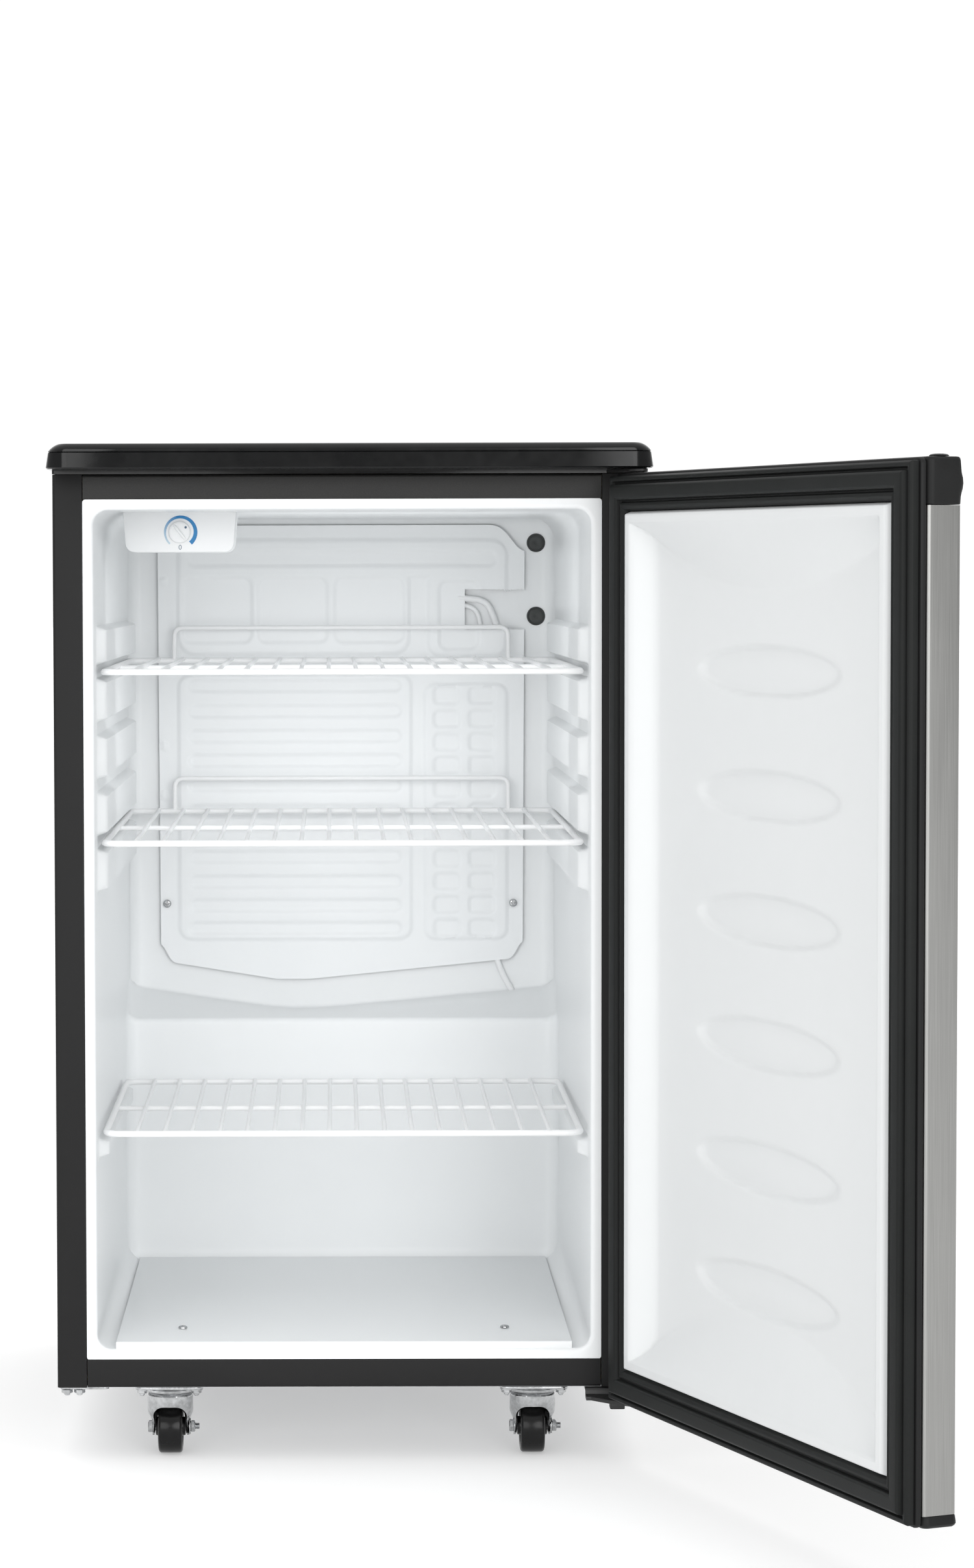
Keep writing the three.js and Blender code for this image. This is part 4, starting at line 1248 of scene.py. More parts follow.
    def _lines(self) -> None:
        """The suction and capillary lines, which curve out of the notch, and the sleeve at the foot."""
        for node, radius in self.lines:
            box = HERE.box(node)
            y = box.centre[1]
            route = [
                (box.low[0] - 8, y, box.high[2] - radius + 2),
                (box.low[0] + (box.high[0] - box.low[0]) * 0.62, y, box.high[2] - radius - 1),
                (box.high[0] - radius, y, box.low[2] + 2),
            ]
            path = rounded(route, [1, 11, 1], 12)
            Shell().solid(tube(path, radius, (0, 1, 0), 14)).piece(node, SMALL_WHITE, "white_liner")
        box = HERE.box("capillary_sleeve")
        y = box.centre[1]
        route = [
            (box.low[0] + 1, y, box.high[2] + 6), (box.low[0] + 7, y, box.centre[2] + 6),
            (box.high[0] - 2, y, box.low[2]),
        ]
        path = rounded(route, [1, 12, 1], 8)
        shell = Shell().solid(tube(path, self.sleeve_radius, (0, 1, 0), 14))
        shell.piece("capillary_sleeve", SMALL_WHITE, "white_liner")

    def _plug(self, node: str) -> None:
        """A round rubber plug: a low dome with a rolled rim and a small dimple.

        Args:
            node: The node it stands for.
        """
        box = HERE.box(node)
        radius, face = box.half[0], box.low[1]
        profile = [
            (0.05, face + 0.9), (1.2, face + 0.8), (2.2, face + 0.2), (radius * 0.55, face - 0.2),
            (radius * 0.72, face + 0.1), (radius * 0.8, face + 0.7), (radius * 0.88, face + 0.1),
            (radius * 0.96, face + 0.6), (radius, face + 1.5), (radius * 0.98, face + 2.6),
            (6.2, face + 2.9), (6.2, box.high[1]), (0.05, box.high[1]),
        ]
        points = lathe((box.centre[0], 0, box.centre[2]), profile, 1, 36)
        Shell().solid(points).piece(node, PLUG_RUBBER, "gasket")


# -------- the thermostat


@dataclass
class Thermostat:
    """The housing under the ceiling, its printed scale and the dial."""

    corner: float = 9.0
    taper: float = 2.5
    edge: float = 2.6
    print_wall: float = 0.16
    print_lift: float = 0.12
    scale_outer: float = 15.1
    scale_shift: float = 1.0
    figure_drop: float = 13.6
    dial_gap: float = 0.4
    shaft_length: float = 8.0
    scale_start: float = 227.0
    scale_end: float = -48.0
    grip_turn: float = 38.0

    def build(self) -> None:
        """Makes the housing, scale, figure and dial."""
        box = HERE.box("thermostat_housing")
        low, high = box.low, box.high
        outline = rounded(
            [
                (low[0] + self.taper, low[2]), (high[0] - self.taper, low[2]), (high[0], high[2]),
                (low[0], high[2]),
            ],
            [self.corner, self.corner, 0.6, 0.6], 8, closed=True,
        )
        shell = Shell().solid(prism(outline, (low[1], high[1]), 1))
        shell.piece("thermostat_housing", SMALL_WHITE, "white_liner", bevel=self.edge, crease=50)
        dress("thermostat_body", GALVANISED)
        self.dial_box = HERE.box("thermostat_dial")
        self.centre = self.dial_box.centre
        self._scale(low[1])
        self._dial()

    def _scale(self, face: float) -> None:
        """The blue band: an arc that widens and deepens clockwise, and an oval figure 0 below it.

        Args:
            face: The depth of the housing's front face.
        """
        share = np.linspace(0, 1, 72)
        angle = np.radians(self.scale_start + (self.scale_end - self.scale_start) * share)
        width = 1.5 + 2.3 * share
        radius = np.stack([np.full_like(share, self.scale_outer), self.scale_outer - width], axis=-1)
        middle = self.centre[0] + self.scale_shift
        x = middle + radius * np.cos(angle)[:, None]
        z = self.centre[2] + radius * np.sin(angle)[:, None]
        y = np.full_like(x, face - self.print_lift)
        shell = Shell().grid(np.stack([x, y, z], axis=-1))
        printed = {"slot": "white_liner", "node": "thermostat_housing", "wall": self.print_wall}
        made = shell.piece("thermostat_scale", scale_ink(), **printed)
        points = np.zeros(len(made.data.vertices) * 3)
        made.data.vertices.foreach_get("co", points)
        points = points.reshape(-1, 3) / MM
        turned = np.degrees(np.arctan2(points[:, 2] - self.centre[2], points[:, 0] - middle))
        turned = np.where(turned < self.scale_end - 1, turned + 360, turned)
        sweep = made.data.attributes.new("sweep", "FLOAT", "POINT")
        share = (self.scale_start - turned) / (self.scale_start - self.scale_end)
        sweep.data.foreach_set("value", share.astype(np.float32))
        around = np.linspace(0, 2 * math.pi, 28, endpoint=False)
        size = np.array([(1.35, 2.2), (0.85, 1.7)])
        x = self.centre[0] + 0.5 + size[:, :1] * np.cos(around)
        z = self.centre[2] - self.figure_drop + size[:, 1:] * np.sin(around)
        figure = np.stack([x, np.full_like(x, face - self.print_lift), z], axis=-1)
        Shell().grid(figure, around=True).piece("thermostat_zero", DIAL_INK, **printed)

    def _dial(self) -> None:
        """The dial: a turned disc, a ridge across it, and a dot near the rim square to the ridge."""
        box = self.dial_box
        radius = box.half[0]
        face = HERE.box("thermostat_housing").low[1] - self.dial_gap
        shaft_end = face + self.shaft_length
        profile = [
            (0.05, face - 3.2), (radius * 0.8, face - 3.2), (radius * 0.88, face - 3.0),
            (radius * 0.97, face - 2.4), (radius, face - 1.6), (radius, face), (2.6, face),
            (2.6, shaft_end), (0.05, shaft_end),
        ]
        shell = Shell().solid(lathe((self.centre[0], 0, self.centre[2]), profile, 1, 64))
        turn = math.radians(self.grip_turn)
        along = np.array([-math.sin(turn), 0.0, math.cos(turn)])
        across = np.array([math.cos(turn), 0.0, math.sin(turn)])
        length = np.linspace(-1, 1, 25)
        height = 2.2 * (1 - np.abs(length) ** 6) + 0.05
        section = np.array(
            [(-1.5, 0.3), (-1.35, -0.5), (-0.8, -0.95), (0, -1.05), (0.8, -0.95), (1.35, -0.5), (1.5, 0.3)]
        )
        middle = np.array([self.centre[0], face - 3.1, self.centre[2]])
        lift = np.stack([np.zeros_like(height), height, np.zeros_like(height)], axis=-1)
        grip = (
            middle
            + (length * (radius - 1.2))[:, None, None] * along
            + section[None, :, :1] * across * (0.5 + 0.5 * (1 - length**8))[:, None, None]
            + section[None, :, 1:] * lift[:, None]
        )
        shell.solid(grip)
        shell.piece("thermostat_dial", SMALL_WHITE, "white_liner", "thermostat_knob")
        spot = middle + across * radius * 0.72
        profile = [(0.05, -0.5), (0.8, -0.5), (1.1, -0.2), (1.1, 0.3), (0.05, 0.3)]
        dot = Shell().solid(lathe(spot, profile, 1, 20))
        dot.piece("thermostat_mark", DIAL_INK, "white_liner", "thermostat_knob", node="thermostat_dial")


# -------- the shelves


@dataclass
class Shelf:
    """One dipped wire shelf."""

    node: str
    guard: bool
    rail: float = 2.8
    wire: float = 2.0
    wires: int = 16
    corner: float = 14.0
    guard_reach: float = 167.0
    guard_corner: float = 9.0

    def build(self) -> None:
        """Makes the frame wire, the two cross wires, the long wires that lie on them, and the guard."""
        box = HERE.box(self.node)
        low, high = box.low, box.high
        level = low[2] + self.rail
        ring = stack(Loop.of(8), low[:2] + self.rail, high[:2] - self.rail, self.corner, [(0, level)], 2)[0]
        shell = Shell().hoop(self._closed_tube(ring, self.rail))
        flat = (0.0, 0.0, 1.0)
        inner = self.rail * 1.2
        for depth in (box.centre[1], high[1] - self.rail):
            drop = 1.6 if depth < high[1] - 10 else 0.0
            path = np.linspace(
                (low[0] + inner, depth, level - drop), (high[0] - inner, depth, level - drop), 4
            )
            shell.solid(tube(path, self.rail * 0.85, flat, 12))
        pitch = (high[0] - low[0] - 2 * self.rail) / (self.wires + 1.3)
        for index in range(self.wires):
            x = box.centre[0] + (index - (self.wires - 1) / 2) * pitch
            ride = level + 1.7
            front, back = low[1] + self.rail * 0.7, high[1] - self.rail * 0.7
            route = [
                (x, front, level + 0.4), (x, front + 4, ride), (x, back - 4, ride), (x, back, level + 0.4)
            ]
            shell.solid(tube(rounded(route, 3.0, 3), self.wire, (1.0, 0.0, 0.0), 10))
        if self.guard:
            y, top, reach = high[1] - self.rail, high[2] - self.wire, self.guard_reach
            left, right = box.centre[0] - reach, box.centre[0] + reach
            route = [(left, y, level), (left, y, top), (right, y, top), (right, y, level)]
            shell.solid(tube(rounded(route, self.guard_corner, 7), self.wire * 1.15, (0.0, 1.0, 0.0), 12))
        level_name = self.node.replace("shelf_", "")
        shell.piece(self.node, WIRE_WHITE, "white_wire", f"{level_name}_shelf", crease=60)

    @staticmethod
    def _closed_tube(ring: np.ndarray, radius: float) -> np.ndarray:
        """Carries a round section along a closed level ring.

        Args:
            ring: The centre line's points.
            radius: The section's radius.

        Returns:
            Points, stations by sides by 3.
        """
        along = np.roll(ring, -1, axis=0) - np.roll(ring, 1, axis=0)
        along /= np.linalg.norm(along, axis=1, keepdims=True)
        up = np.broadcast_to((0.0, 0.0, 1.0), along.shape)
        side = np.cross(along, up)
        angle = np.linspace(0, 2 * math.pi, 14, endpoint=False)
        turn = np.cos(angle)[None, :, None] * up[:, None] + np.sin(angle)[None, :, None] * side[:, None]
        return ring[:, None] + radius * turn


# -------- the casters


@dataclass
class Caster:
    """One swivel caster: plate and ball race, pressed fork, wheel and axle."""

    name: str
    crown: float = 19.4
    crown_round: float = 3.6
    fork_sheet: float = 1.8
    foot: float = 8.0
    pinch: float = 3.8
    arch: float = 47.0
    boss: float = 13.2
    tread_half: float = 10.8
    axle_reach: float = 16.4
    nuts: tuple[float, float] = (24.0, 20.0)

    def build(self) -> None:
        """Makes the four pieces on their bodies."""
        self._plate()
        self._fork()
        self._wheel()
        self._axle()

    def _plate(self) -> None:
        """The plate with rounded corners, the drawn cup of the race, and four nuts on their bolts."""
        node = f"{self.name}_plate"
        box = HERE.box(node)
        top = box.high[2]
        x, y = box.centre[:2]
        shell = Shell().solid(slab((box.low[0], box.low[1], top - 2.4), box.high, 7, 0.5, 2))
        cup = [
            (0.05, -13.2), (7.4, -13.2), (8.2, -12.6), (8.2, -11), (5, -10.6), (5, -7.8), (18.5, -7.8),
            (21.2, -7.2), (22.4, -6), (22.6, -4.6), (21.2, -3.6), (22.8, -2.4), (0.05, -2.0),
        ]
        shell.solid(lathe((x, y, top), cup, 2, 40))
        for side in (-1, 1):
            for end in (-1, 1):
                seat = (x + side * self.nuts[0], y + end * self.nuts[1], top)
                shell.solid(lathe(seat, [(0.05, -3.2), (5.6, -3.2), (5.6, -2.2), (0.05, -2.2)], 2, 20))
                shell.solid(hexagon(seat, 4.6, (-6.2, -3.1), 2))
                bolt = [(0.05, -8.4), (1.6, -8.4), (2.3, -7.8), (2.3, -5.8), (0.05, -5.8)]
                shell.solid(lathe(seat, bolt, 2, 14))
        shell.piece(node, ZINC, "zinc")

    def _fork(self) -> None:
        """The fork: a drawn cup whose skirt runs down into two legs, arched open in front and less so behind.

        Going round, the skirt's lower edge follows the round foot under each leg, then climbs to the arch.
        Going down, it falls straight, then pinches in beside the wheel, and moves back to the axle.
        """
        node = f"{self.name}_fork"
        box, wheel = HERE.box(node), HERE.box(f"{self.name}_wheel")
        x, y = HERE.box(f"{self.name}_plate").centre[:2]
        top = box.high[2]
        axle, trail = wheel.centre[2], wheel.centre[1] - y
        angle = np.linspace(0, 2 * math.pi, 96, endpoint=False)
        cosine, sine = np.cos(angle), np.sin(angle)
        offset = np.abs(self.crown * sine)
        under = axle - np.sqrt(np.maximum(self.foot**2 - offset**2, 0))
        arch = np.where(sine < 0, self.arch, self.arch - 9)
        climb = axle + (arch - axle) * smoothstep((offset - self.foot) / (self.crown - self.foot)) ** 0.5
        lowest = np.where(offset < self.foot, under, climb)
        share = np.linspace(0, 1, 18)[:, None]
        bend = self.crown_round
        start = top - bend
        z = start + (lowest - start) * share
        sunk = np.clip((start - z) / (start - axle), 0, 1.2)
        width = self.crown - self.pinch * smoothstep((41.0 - z) / 13)
        skirt = np.stack(
            [x + width * cosine, y + self.crown * 0.92 * sine + trail * smoothstep(sunk), z], axis=-1
        )
        ring = np.radians(np.linspace(0, 90, 5))[:, None]
        radius = np.concatenate(
            [[[6.4]], [[self.crown - bend]], self.crown - bend + bend * np.sin(ring[1:-1])]
        )
        rise = np.concatenate([[[top]], [[top]], start + bend * np.cos(ring[1:-1])])
        crown = np.stack(
            [x + radius * cosine, y + radius * 0.96 * sine, np.broadcast_to(rise, (len(rise), len(angle)))],
            axis=-1
        )
        shell = Shell().grid(np.concatenate([crown, skirt]), around=True)
        shell.piece(node, ZINC, "zinc", f"{self.name}_swivel", wall=self.fork_sheet, crease=50)

    def _wheel(self) -> None:
        """The wheel: a crowned tread, rounded shoulders, dished sides and a hub boss on each side."""
        node = f"{self.name}_wheel"
        box = HERE.box(node)
        radius, boss, half = box.half[1], self.boss, self.tread_half
        side = [
            (3.6, boss), (7.6, boss), (8.2, boss - 0.6), (8.6, 9.2), (10.5, 8.4), (15, 8.6), (17.4, 9.6),
            (18.6, half - 0.2), (20.0, half), (21.6, half - 0.3), (22.9, half - 1.2),
            (radius - 0.1, half - 2.6),
        ]
        profile = side + [(radius, 0.0)] + [(r, -h) for r, h in side[::-1]]
        points = lathe(box.centre, profile, 0, 72)
        Shell().hoop(points).piece(node, TREAD, "wheel_rubber", f"{self.name}_roller", crease=44)

    def _axle(self) -> None:
        """The axle bolt: a flanged head, the shank, a washer, a nut and the threaded end."""
        node = f"{self.name}_axle"
        box = HERE.box(node)
        middle, reach = box.centre, self.axle_reach
        shell = Shell().solid(hexagon(middle, 5.6, (-reach - 4.4, -reach), 0))
        shell.solid(hexagon(middle, 5.4, (reach + 0.8, reach + 4.8), 0))
        shank = [(0.05, -reach), (3, -reach), (3, reach + 5)]
        thread = [(2.5 + 0.45 * (step % 2), reach + 5 + step * 0.5) for step in range(8)]
        shell.solid(lathe(middle, shank + thread + [(0.05, reach + 8.8)], 0, 20))
        for place in (-reach, reach):
            washer = [(3.1, place - 0.1), (7.2, place - 0.1), (7.2, place + 0.8), (3.1, place + 0.8)]
            shell.hoop(lathe(middle, washer, 0, 28))
        shell.piece(node, ZINC, "zinc", f"{self.name}_swivel")


# -------- the hinges


@dataclass
class Hinges:
    """The straps and brackets that stay on the case."""

    strap: float = 2.8
    plate: float = 3.2
    pin: float = 3.6
    arm_top: float = 60.6
    bolt: float = 5.5

    def build(self) -> None:
        """Makes the top strap, the bottom bracket with its stop, and the spare plate."""
        self._top()
        self._bottom()
        self._spare()

    def _top(self) -> None:
        """The strap, rounded about its pin, with a domed pin head."""
        box = HERE.box("hinge_bracket_top")
        joint = hinge_place()
        strap_top = box.high[2]
        right = box.high[0] - 1.6
        outline = rounded(
            [
                (right - 40, box.high[1]), (right, box.high[1]), (right, joint.y - 7),
                (joint.x - 8, joint.y - 7), (right - 40, -30),
            ],
            [3, 3, 7, 7, 10], 6, closed=True,
        )
        shell = Shell().solid(prism(outline, (strap_top - self.strap, strap_top), 2))
        low, high = box.low[2], strap_top - 1.5
        pin = [(0.05, low), (3.0, low), (self.pin, low + 0.8), (self.pin, high), (0.05, high)]
        shell.solid(lathe((joint.x, joint.y, 0), pin, 2, 24))
        shell.piece("hinge_bracket_top", BRACKET_PAINT, "bracket_steel", bevel=0.4)

    def _bottom(self) -> None:
        """The cranked bracket: a plate under the case, a step, an arm to the pin and the stop under it."""
        box = HERE.box("hinge_bracket_bottom")
        joint = hinge_place()
        under = HERE.box("spare_hinge_plate").high[2]
        left, right = box.low[0], box.high[0]
        front = HERE.box("side_panel_left").low[1] - 0.9
        arm_top, half = self.arm_top, self.plate / 2
        side = rounded(
            [
                (box.high[1], under - half), (front + half, under - half), (front + half, arm_top - half),
                (front - 12, arm_top - half),
            ],
            [1, 3, 3, 1], 5,
        )
        shell = Shell().solid(self._thick(prism(side, (left, right), 0), half))
        plan = rounded(
            [
                (left, front - 8), (right, front - 8), (right, joint.y - 6), (joint.x - 4, joint.y - 10),
                (left + 18, joint.y + 7),
            ],
            [1, 1, 8, 5, 5], 5, closed=True,
        )
        shell.solid(prism(plan, (arm_top - self.plate, arm_top), 2))
        foot, head = arm_top - 1, box.high[2]
        pin = [(0.05, foot), (self.pin, foot), (self.pin, head - 0.8), (3.0, head), (0.05, head)]
        shell.solid(lathe((joint.x, joint.y, 0), pin, 2, 24))
        low = (left + 20, joint.y + 6, box.low[2])
        shell.solid(slab(low, (left + 33, joint.y + 21, arm_top - 2), 2, 0.6, 2))
        for x in (left + 10, right - 11):
            shell.solid(hexagon((x, box.high[1] - 30, under), self.bolt, (-7.5, -3.0), 2))
        shell.piece("hinge_bracket_bottom", BRACKET_PAINT, "bracket_steel", bevel=0.3)

    @staticmethod
    def _thick(sheet: np.ndarray, half: float) -> np.ndarray:
        """Gives a bent strip its thickness: each section point moves square to the strip, out and back.

        Args:
            sheet: The strip, 2 edges by stations by 3, bent in y and z.
            half: Half the thickness.

        Returns:
            Points, 2 edges by twice the stations by 3.
        """
        along = np.gradient(sheet, axis=1)
        square = np.stack([np.zeros_like(along[..., 0]), -along[..., 2], along[..., 1]], axis=-1)
        square /= np.linalg.norm(square, axis=-1, keepdims=True)
        return np.concatenate([sheet + half * square, (sheet - half * square)[:, ::-1]], axis=1)

    def _spare(self) -> None:
        """The plate that covers the holes of a left-hand hinge, with two bolts at its front."""
        box = HERE.box("spare_hinge_plate")
        top = box.high[2]
        shell = Shell().solid(slab((box.low[0], box.low[1] + 3, top - 2), box.high, 4, 0.4, 2))
        for x in (box.low[0] + 6, box.low[0] + 17):
            seat = (x, box.low[1] + 6, top)
            shell.solid(hexagon(seat, 5.0, (-5.6, -1.8), 2))
            shank = [(0.05, -7.4), (2.0, -7.4), (2.6, -6.8), (2.6, -5.4), (0.05, -5.4)]
            shell.solid(lathe(seat, shank, 2, 16))
        shell.piece("spare_hinge_plate", ZINC, "zinc")


def hinge_place() -> Place:
    """The door's own axes, which stand on the hinge pin, turned by the door's opening angle.

    Returns:
        The door's place.
    """
    joint = next(row for row in frame["record"]["behaviour"]["joints"] if row["name"] == "door_hinge")
    x, y, _ = joint["pos_m"]
    return Place(x / MM, y / MM, math.radians(-joint["range_deg"][0]))


# -------- the door


@dataclass
class Door:
    """The foamed door. Its own x runs from the free edge to the pin and its own y from the outside in."""

    skin: float = 1.2
    dish_depth: float = 20.0
    end_reach: float = 52.0
    side_reach: float = 21.0
    rim: float = 9.0
    rim_round: float = 2.4
    rim_drop: float = 6.0
    panel_sheet: float = 1.6
    ovals: int = 6
    oval_half: tuple[float, float] = (124.0, 21.5)
    oval_pitch: float = 101.0
    oval_drop: float = 14.5
    oval_press: float = 3.4
    grid_step: tuple[float, float] = (4.6, 2.1)

    def build(self) -> None:
        """Makes the skin, caps, frame, panel, gasket, plug and core."""
        self.place = hinge_place()
        self._skin()
        self._cap_top()
        self._cap_bottom()
        self._frame()
        self._gasket()
        self._panel()
        self._core()
        self._plug()

    def _piece(self, shell: Shell, node: str, finish: Finish, slot: str, **options: float) -> None:
        """Makes a door piece that stands for the node of its name."""
        shell.piece(node, finish, slot, "door", **options)

    def _skin(self) -> None:
        """The wrapped steel: an open channel in plan with rounded edges and short lips turned in."""
        box = self.place.box("door_skin")
        half = self.skin / 2
        left, right = box.low[0] + half, box.high[0] - half
        front, back = box.low[1] + half, box.high[1] - half
        corners = [
            (left + 7, back), (left, back), (left, front), (right, front), (right, back), (right - 7, back)
        ]
        line = rounded(corners, [1, 3, 3.2, 3.2, 3, 1], 7)
        levels = np.linspace(box.low[2], box.high[2], 3)
        sheet = np.stack([prism(line, (level, level), 2)[0] for level in levels])
        self._piece(
            Shell(self.place).grid(sheet), "door_skin", STAINLESS, "stainless", wall=self.skin, crease=50
        )

    def _cap_top(self) -> None:
        """The top cap: plan loops whose outer face swells into a grip lip and whose top edge rolls over."""
        box = self.place.box("door_cap_top")
        loop = Loop.of(8, np.linspace(0, 1, 10)[1:-1], [0.25, 0.5, 0.75])
        top, low = box.high[2], box.low[2]
        heights = np.array(
            [
                low, low + 0.6, low + 6, low + 9, low + 12, low + 16, low + 20, low + 24, top - 3,
                top - 1.2, top - 0.3, top,
            ]
        )
        inset = np.array([0.8, 0.2, 0, 0, 0, 0, 0, 0, 0, 0.5, 1.4, 3.0])
        swell = np.array([0, 0, 0.2, 1.0, 2.0, 2.6, 2.2, 1.0, 0, 0, 0, 0])
        points = stack(loop, box.low[:2], box.high[:2], 6.0, np.stack([inset, heights], axis=-1), 2)
        points[..., 1] -= swell[:, None] * np.maximum(-loop.turn[:, 1], 0)
        self._piece(Shell(self.place).solid(points), "door_cap_top", BLACK_PLASTIC, "black_plastic")

    def _cap_bottom(self) -> None:
        """The bottom cap, which flares slightly towards its foot."""
        box = self.place.box("door_cap_bottom")
        low, top = box.low[2], box.high[2]
        profile = [
            (1.6, low), (0.4, low + 0.8), (-0.6, low + 2.4), (-0.4, low + 4.5), (0.2, top - 1), (0.8, top)
        ]
        points = stack(Loop.of(8), box.low[:2], box.high[:2], 6.0, profile, 2)
        self._piece(Shell(self.place).solid(points), "door_cap_bottom", BLACK_PLASTIC, "black_plastic")

    def _frame(self) -> None:
        """The plastic frame round the inner side: a flat ring with a rounded step for the gasket."""
        box = self.place.box("door_frame")
        low, high = box.low, box.high
        back, front = low[1], high[1]
        profile = [
            (0.6, back), (0.0, back + 0.8), (0.0, front - 1.4), (0.5, front - 0.4), (1.4, front),
            (4.2, front), (5.0, front - 0.6), (6.2, front - 1.6), (33.4, front - 1.6),
            (33.8, front - 2.2), (33.8, back),
        ]
        points = stack(Loop.of(4), low[[0, 2]], high[[0, 2]], 5.0, profile, 1)
        shell = Shell(self.place).hoop(points)
        self._piece(shell, "door_frame", BLACK_PLASTIC, "black_plastic")

    def _gasket(self) -> None:
        """The magnetic gasket: its ribbed section carried round a mitred rectangle.

        From the outside in: a rounded outer bead, a groove, the broad sealing face with its soft shoulders,
        a deep groove, and the inner lip that lies against the panel.
        """
        box = self.place.box("door_gasket")
        base, face = box.low[1], box.high[1]
        section = rounded(
            [
                (1.0, base), (1.0, face - 6.0), (2.6, face - 3.6), (5.4, face - 3.8), (6.4, face - 6.8),
                (8.0, face - 6.8), (8.6, face - 1.2), (10.4, face), (19.6, face - 0.2), (21.4, face - 1.4),
                (22.0, face - 5.4), (23.4, face - 6.0), (24.4, face - 3.0), (27.0, face - 2.4),
                (29.6, face - 4.4), (31.2, face - 8.0), (31.2, base),
            ],
            0.55, 2, closed=True,
        )
        points = stack(Loop.of(2), box.low[[0, 2]], box.high[[0, 2]], 2.0, section, 1)
        self._piece(Shell(self.place).hoop(points), "door_gasket", GASKET, "gasket", crease=38)

    def _panel(self) -> None:
        """The formed inner panel as a height field: a rim, sides that fall into a dish, and pressed ovals.

        The dish is as deep as the nearest edge lets it be: each side wall falls over a fixed reach, and
        each end is a long ramp whose reach follows a parabola across the door, so its foot is an arc.
        """
        box = self.place.box("door_liner")
        low, high = box.low[[0, 2]], box.high[[0, 2]]
        across = np.unique(np.concatenate([
            np.linspace(low[0], high[0], int((high[0] - low[0]) / self.grid_step[0])),
            low[0] + np.linspace(0, 24, 17), high[0] - np.linspace(0, 24, 17),
        ]))
        up = np.unique(np.concatenate([
            np.linspace(low[1], high[1], int((high[1] - low[1]) / self.grid_step[1])),
            low[1] + np.linspace(0, 14, 11), high[1] - np.linspace(0, 14, 11),
        ]))
        x, z = np.meshgrid(across, up)
        middle, half = (low[0] + high[0]) / 2, (high[0] - low[0]) / 2
        share = np.clip(1 - ((x - middle) / (half - self.rim)) ** 2, 0, 1)
        reach = 6 + self.end_reach * share
        edge_x = np.minimum(x - low[0], high[0] - x)
        fall_side = (edge_x - self.rim) / self.side_reach
        fall_top = (high[1] - z - self.rim) / reach
        fall_bottom = (z - low[1] - self.rim) / (reach * 1.25)
        fall = [smoothstep(fall_side), np.clip(fall_top, 0, 1), np.clip(fall_bottom, 0, 1)]
        dish = self.dish_depth * soft_least(fall, 0.035)
        centre = (low[1] + high[1]) / 2 - self.oval_drop
        for index in range(self.ovals):
            level = centre + (index - (self.ovals - 1) / 2) * self.oval_pitch
            spread = np.hypot((x - middle) / self.oval_half[0], (z - level) / self.oval_half[1])
            sunk = self.oval_press * smoothstep((1.0 - spread) / 0.11)
            dish = dish + sunk * (1 - 0.35 * smoothstep(1 - spread))
        edge = np.minimum(edge_x, np.minimum(z - low[1], high[1] - z))
        drop = self.rim_drop * (1 - smoothstep(edge / self.rim_round))
        y = box.high[1] - dish - drop
        shell = Shell(self.place).grid(np.stack([x, y, z], axis=-1))
        # The panel's finish is the liner white darkened: painted shade for the lamp light that falls on it.
        self._piece(shell, "door_liner", SHADED_PANEL_WHITE, "white_liner", wall=self.panel_sheet, crease=60)

    def _core(self) -> None:
        """The foam core, a plain slab that fills the door behind the panel."""
        skin, rim = self.place.box("door_skin"), self.place.box("door_liner")
        low = (skin.low[0] + 2, skin.low[1] + 2, skin.low[2] + 1)
        high = (skin.high[0] - 2, rim.high[1] - self.dish_depth - self.oval_press - 3, skin.high[2] - 1)
        shell = Shell(self.place).solid(slab(low, high, 4, 1, 1))
        self._piece(shell, "door_foam", FOAM, "foam")

    def _plug(self) -> None:
        """The button in the unused hinge hole."""
        box = self.place.box("hinge_hole_plug")
        top, radius = box.high[2], box.half[0]
        head = [
            (0.05, 0), (radius * 0.5, 0.15), (radius * 0.85, 0.6), (radius, 1.4), (radius * 0.98, 1.9),
            (4.4, 2),
        ]
        profile = [(out, top - down) for out, down in head] + [(4.2, box.low[2]), (0.05, box.low[2])]
        shell = Shell(self.place).solid(lathe((box.centre[0], box.centre[1], 0), profile, 2, 32))
        self._piece(shell, "hinge_hole_plug", BLACK_PLASTIC, "black_plastic")


def soft_least(values: Sequence[np.ndarray], softness: float) -> np.ndarray:
    """The least of several values with rounded creases: half the sum of a pair less half a softened gap.

    Args:
        values: The arrays to compare.
        softness: The width of the rounding.

    Returns:
        The rounded least.
    """
    least = values[0]
    for other in values[1:]:
        least = (least + other - np.sqrt((least - other) ** 2 + softness**2)) / 2
    return np.maximum(least, 0)


# -------- the machinery


